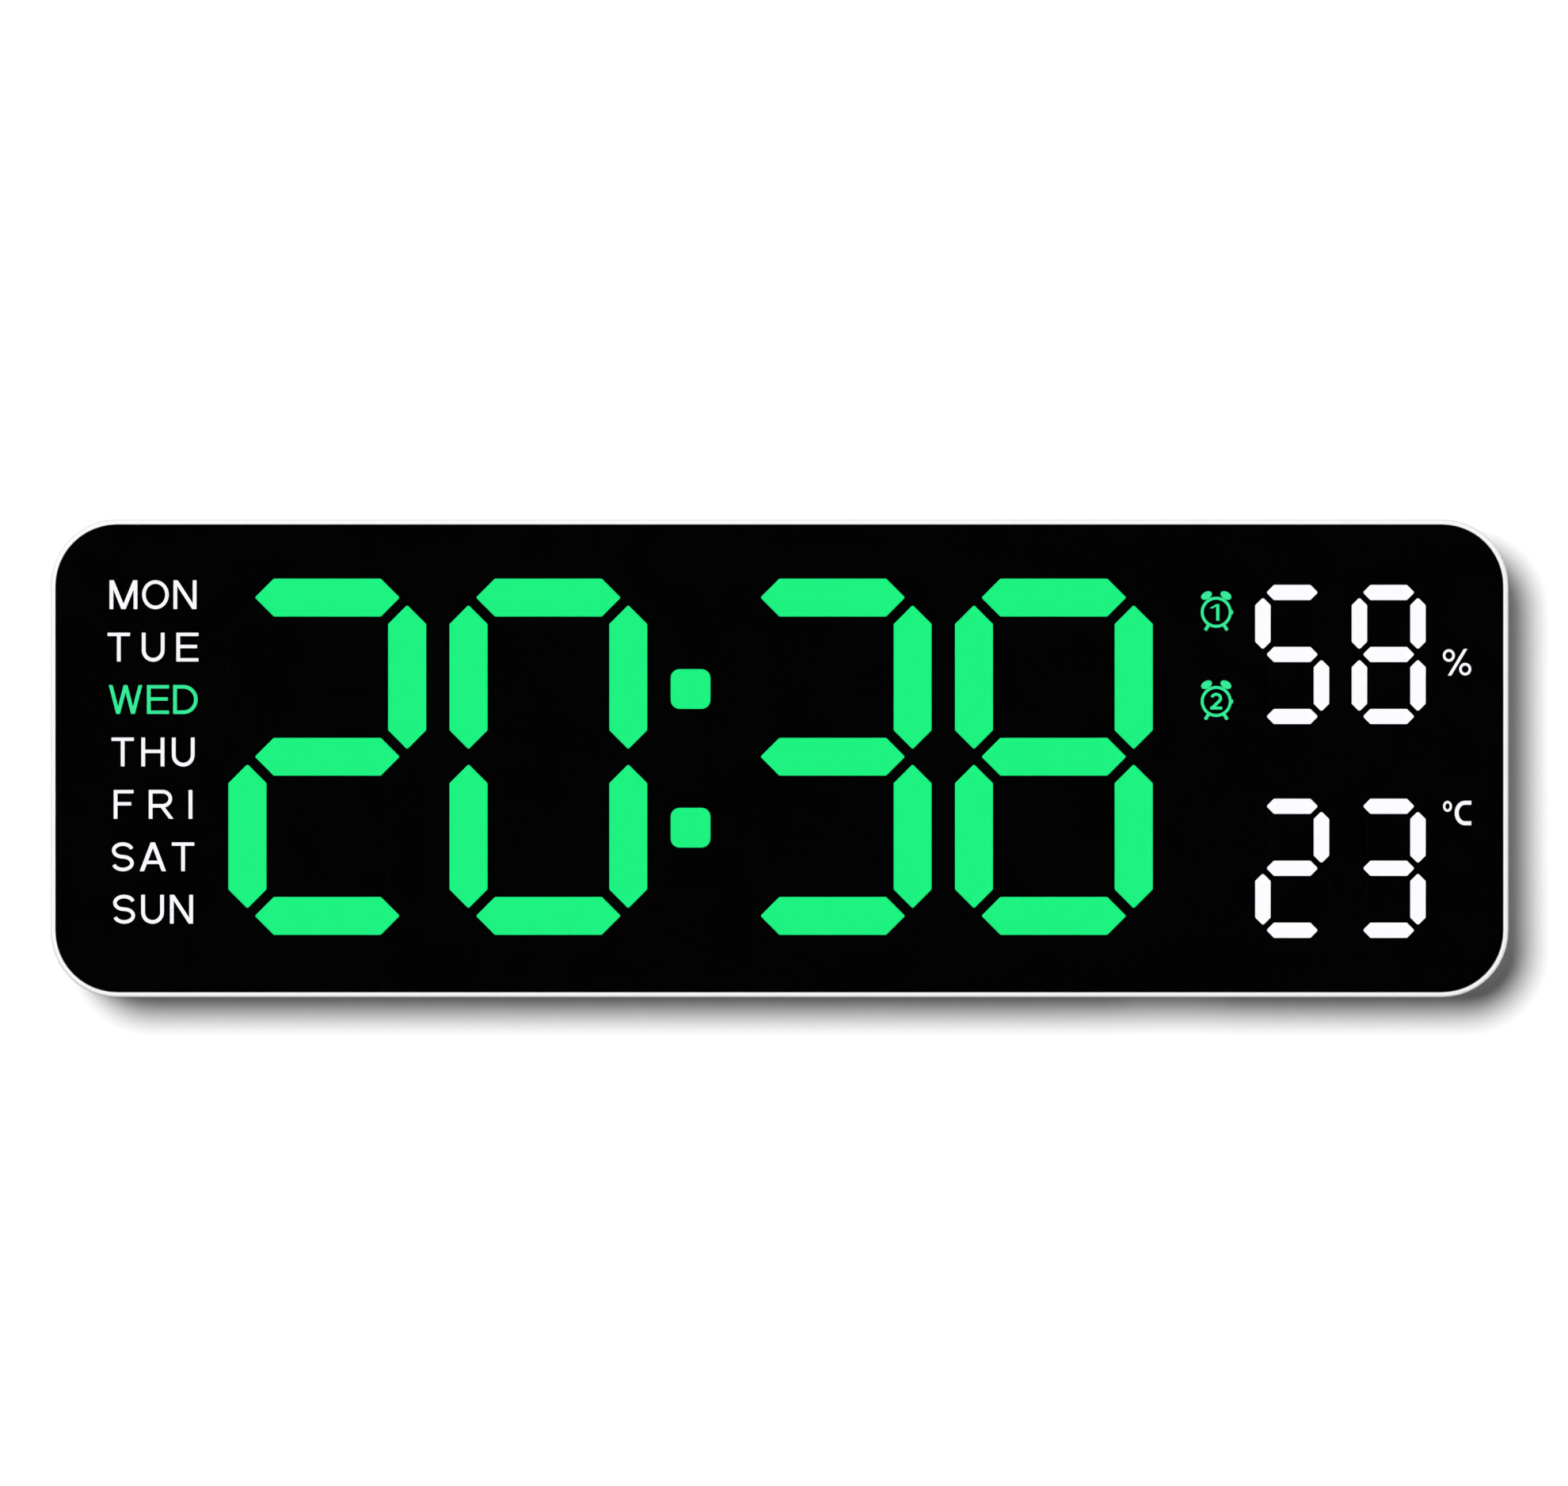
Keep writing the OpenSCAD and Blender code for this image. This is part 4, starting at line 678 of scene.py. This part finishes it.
def flat_sheet(name, *quads):
    """A sheet of the stage, from quads that run anticlockwise seen from its front."""
    points = [p for quad in quads for p in quad]
    mesh = bpy.data.meshes.new(name)
    mesh.from_pydata(points, [], [range(i, i + 4) for i in range(0, len(points), 4)])
    obj = bpy.data.objects.new(name, mesh)
    bpy.context.scene.collection.objects.link(obj)
    return obj


def level_quad(x0, y0, x1, y1, z):
    """A level rectangle that faces up."""
    return [(x0, y0, z), (x1, y0, z), (x1, y1, z), (x0, y1, z)]


def upright_quad(h, y, z, side):
    """A square of half width h about a height z. It faces the front for side 1, and the back
    for side -1."""
    x = side * h
    return [(-x, y, z - h), (x, y, z - h), (x, y, z + h), (-x, y, z + h)]


def stage_material(name, grey, glow=0, fades=False):
    """A pale sheet that shows only from its front, and may fade to plain white at the sides."""
    m = principled(name, (grey, grey, grey, 1), roughness=1.0, Specular_IOR_Level=0,
                   Emission_Color=WHITE, Emission_Strength=glow)
    shade = m.node_tree.nodes[PRINCIPLED].outputs[0]
    geometry = node(m, "ShaderNodeNewGeometry").outputs
    if fades:
        aside = calc(m, "ABSOLUTE", coordinates(m, geometry["Position"])["X"])
        fade = node(m, "ShaderNodeMapRange", From_Min=FADE[0], From_Max=FADE[1])
        fade.interpolation_type = "SMOOTHSTEP"
        link(m, aside, fade.inputs["Value"])
        plain = node(m, "ShaderNodeEmission", Color=WHITE, Strength=1.0)
        shade = choose(m, fade.outputs["Result"], shade, plain.outputs[0])
    clear = node(m, "ShaderNodeBsdfTransparent")
    surface = choose(m, geometry["Backfacing"], shade, clear.outputs[0])
    link(m, surface, m.node_tree.nodes["Material Output"].inputs["Surface"])
    return m


def make_stage():
    """The wall that the clock hangs on, and a floor behind it and under the clock. Both keep the
    clock's shadow."""
    h = STAGE_SIZE / 2
    wall = flat_sheet("wall", upright_quad(h, WALL_Y, 0, 1))
    floor = flat_sheet("floor", level_quad(-h, WALL_Y, h, WALL_Y + STAGE_SIZE, FLOOR_Z),
                       level_quad(-UNDER[0], UNDER[1], UNDER[0], WALL_Y, FLOOR_Z))
    wall.data.materials.append(stage_material("wall_white", WALL_GREY, glow=WALL_GLOW))
    floor.data.materials.append(stage_material("floor_white", FLOOR_GREY, fades=True))
    for sheet in (wall, floor):
        sheet.visible_diffuse = False
        sheet.visible_glossy = False
        sheet.visible_transmission = False
        sheet.visible_shadow = False
    return wall, floor


def make_flag():
    """A black flag behind the camera, which keeps the lens dark seen from straight in front."""
    flag = flat_sheet("flag", upright_quad(FLAG_SIZE / 2, FLAG_Y, CAMERA_AT[2], -1))
    black = principled("flag_black", BLACK, roughness=1.0, Specular_IOR_Level=0)
    flag.data.materials.append(black)
    flag.visible_camera = False
    flag.visible_diffuse = False
    flag.visible_shadow = False


def light_only(light, sheets, state):
    """Lights some sheets alone, or everything but them."""
    receivers = bpy.data.collections.new(light.name + "_receivers")
    for sheet in sheets:
        receivers.objects.link(sheet)
    for entry in receivers.collection_objects:
        entry.light_linking.link_state = state
    light.light_linking.receiver_collection = receivers


def add_light(name, kind, at, aim, energy, **values):
    """A lamp that points from one place to another."""
    data = bpy.data.lights.new(name, kind)
    data.energy = energy
    for key, value in values.items():
        setattr(data, key, value)
    obj = bpy.data.objects.new(name, data)
    obj.location = at
    obj.rotation_euler = (Vector(aim) - Vector(at)).to_track_quat("-Z", "Y").to_euler()
    bpy.context.scene.collection.objects.link(obj)
    return obj


def make_lights(wall, floor):
    """A sun for each sheet, which lays the shadow, and the boxes that light the clock."""
    suns = ((wall, (-SHADOW_RIGHT, -1, SHADOW_DOWN), WALL_LIGHT, WALL_SOFT),
            (floor, (0, -FLOOR_SLOPE, 1), FLOOR_LIGHT, FLOOR_SOFT))
    for sheet, at, energy, soft in suns:
        name = sheet.name + "_light"
        sun = add_light(name, "SUN", at, (0, 0, 0), energy, angle=math.radians(soft))
        light_only(sun, [sheet], "INCLUDE")
    for name, (at, energy, size) in BOXES.items():
        box = add_light(name, "AREA", at, AIM, energy, size=size)
        # A box in front would show as glare all over the flat lens
        box.visible_glossy = at[1] > 0
        light_only(box, [wall, floor], "EXCLUDE")


def make_world():
    """White to the camera and in reflections, and a plain even light elsewhere."""
    world = bpy.data.worlds.new("studio")
    bpy.context.scene.world = world
    world.use_nodes = True
    nodes = world.node_tree.nodes
    dim = nodes["Background"]
    set_inputs(dim, {"Color": WHITE, "Strength": AMBIENT})
    white = node(world, "ShaderNodeBackground", Color=WHITE, Strength=1.0)
    rays = node(world, "ShaderNodeLightPath").outputs
    mirrored = calc(world, "MAXIMUM", rays["Is Glossy Ray"], rays["Is Transmission Ray"])
    seen = calc(world, "MAXIMUM", rays["Is Camera Ray"], mirrored)
    surface = choose(world, seen, dim.outputs[0], white.outputs[0])
    link(world, surface, nodes["World Output"].inputs["Surface"])


def make_camera():
    """A camera straight in front, as in the photograph."""
    data = bpy.data.cameras.new("camera")
    data.lens = CAMERA_LENS
    data.sensor_width = SENSOR_W
    camera = bpy.data.objects.new("camera", data)
    camera.location = CAMERA_AT
    camera.rotation_euler = (math.pi / 2, 0, 0)
    bpy.context.scene.collection.objects.link(camera)
    bpy.context.scene.camera = camera


def main():
    materials = make_materials()
    dress(materials)
    print_legends(materials)
    mark_buttons(materials)
    make_lights(*make_stage())
    make_flag()
    make_world()
    make_camera()
    bpy.context.scene.view_settings.view_transform = "Standard"


main()
